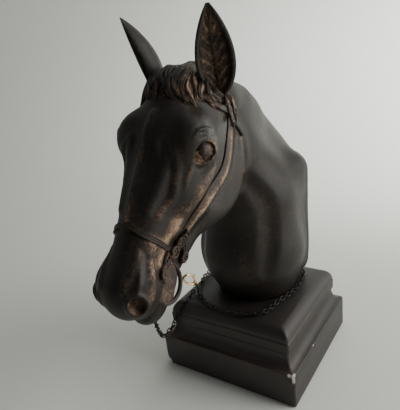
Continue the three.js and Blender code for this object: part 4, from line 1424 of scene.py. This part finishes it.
def make_stage():
    """A pale floor that curves up into a wall behind the statue."""
    profile = [(FLOOR_FRONT, FLOOR_LEVEL), (FLOOR_BACK, FLOOR_LEVEL)]
    for a in np.linspace(0, math.pi / 2, 24):
        profile.append((FLOOR_BACK + CURVE * math.sin(a), FLOOR_LEVEL + CURVE * (1 - math.cos(a))))
    profile.append((FLOOR_BACK + CURVE, WALL_TOP))
    vertices = []
    for s in (-HALF_STAGE, HALF_STAGE):
        for d, z in profile:
            x, y = AWAY * d + SIDEWAYS * s
            vertices.append((x * MM, y * MM, z * MM))
    n = len(profile)
    faces = [(i, i + n, i + n + 1, i + 1) for i in range(n - 1)]
    mesh = bpy.data.meshes.new("backdrop")
    mesh.from_pydata(vertices, [], faces)
    mesh.shade_smooth()
    coat = Finish("backdrop_finish")
    coat.shader.inputs["Base Color"].default_value = BACKDROP_COLOUR
    coat.shader.inputs["Roughness"].default_value = BACKDROP_ROUGHNESS
    mesh.materials.append(coat.material)
    floor = place_object("backdrop", mesh)


# The camera of the photograph, in metres
CAMERA_PLACE = Vector((0.1829, -0.3258, 0.2897))
CAMERA_FORWARD = Vector((-0.5457, 0.7617, -0.3494))
CAMERA_UP = Vector((-0.1017, 0.3536, 0.9298))
LENS = 39.62
SENSOR = 36.0


def make_camera():
    camera = bpy.data.cameras.new("photo_view")
    camera.sensor_width = SENSOR
    camera.lens = LENS
    camera.clip_start = 0.01
    camera.clip_end = 20
    obj = place_object("photo_view", camera)
    forward = CAMERA_FORWARD.normalized()
    right = forward.cross(CAMERA_UP).normalized()
    turn = Matrix((right, right.cross(forward), -forward)).transposed()
    obj.matrix_world = Matrix.Translation(CAMERA_PLACE) @ turn.to_4x4()
    bpy.context.scene.camera = obj


def add_light(name, kind, place, aim, power):
    """A light at a place, in metres, that points at its aim."""
    light = bpy.data.lights.new(name, kind)
    light.energy = power
    obj = place_object(name, light)
    obj.location = place
    obj.rotation_mode = "QUATERNION"
    obj.rotation_quaternion = (Vector(aim) - Vector(place)).to_track_quat("-Z", "Y")
    return light


WORLD_COLOUR = (0.93, 0.95, 1.0, 1)
WORLD_STRENGTH = 0.085
WINDOW_COLOUR = (1.0, 0.985, 0.955)
FILL_COLOUR = (1.0, 0.98, 0.95)


def make_lights():
    world = bpy.data.worlds.new("studio")
    world.use_nodes = True
    background = world.node_tree.nodes["Background"]
    background.inputs["Color"].default_value = WORLD_COLOUR
    background.inputs["Strength"].default_value = WORLD_STRENGTH
    bpy.context.scene.world = world
    window = add_light("window", "AREA", (1.10, 0.42, 0.62), (0, 0, 0.15), 17.5)
    window.color = WINDOW_COLOUR
    window.shape = "RECTANGLE"
    window.size = 0.9
    window.size_y = 1.1
    top = add_light("top", "AREA", (0.2, 0.5, 1.5), (0, 0.1, 0.1), 5.0)
    top.size = 1.0
    wash = add_light("wall_wash", "SPOT", (0.95, 0.56, 0.6), (0.02, 0.74, 0.02), 90)
    wash.spot_size = math.radians(62)
    wash.spot_blend = 1.0
    wash.shadow_soft_size = 0.12
    fill = add_light("left_fill", "AREA", (-0.9, -0.75, 0.6), (0, -0.05, 0.18), 0.8)
    fill.color = FILL_COLOUR
    fill.size = 0.7


make_camera()
make_lights()
make_stage()
make_form()
make_ear(1)
make_ear(-1)
hair_draws = np.random.default_rng(7)
make_forelock(hair_draws)
make_mane(hair_draws)
make_straps()
make_bit()
make_plinth()
make_chain()
make_clasp()
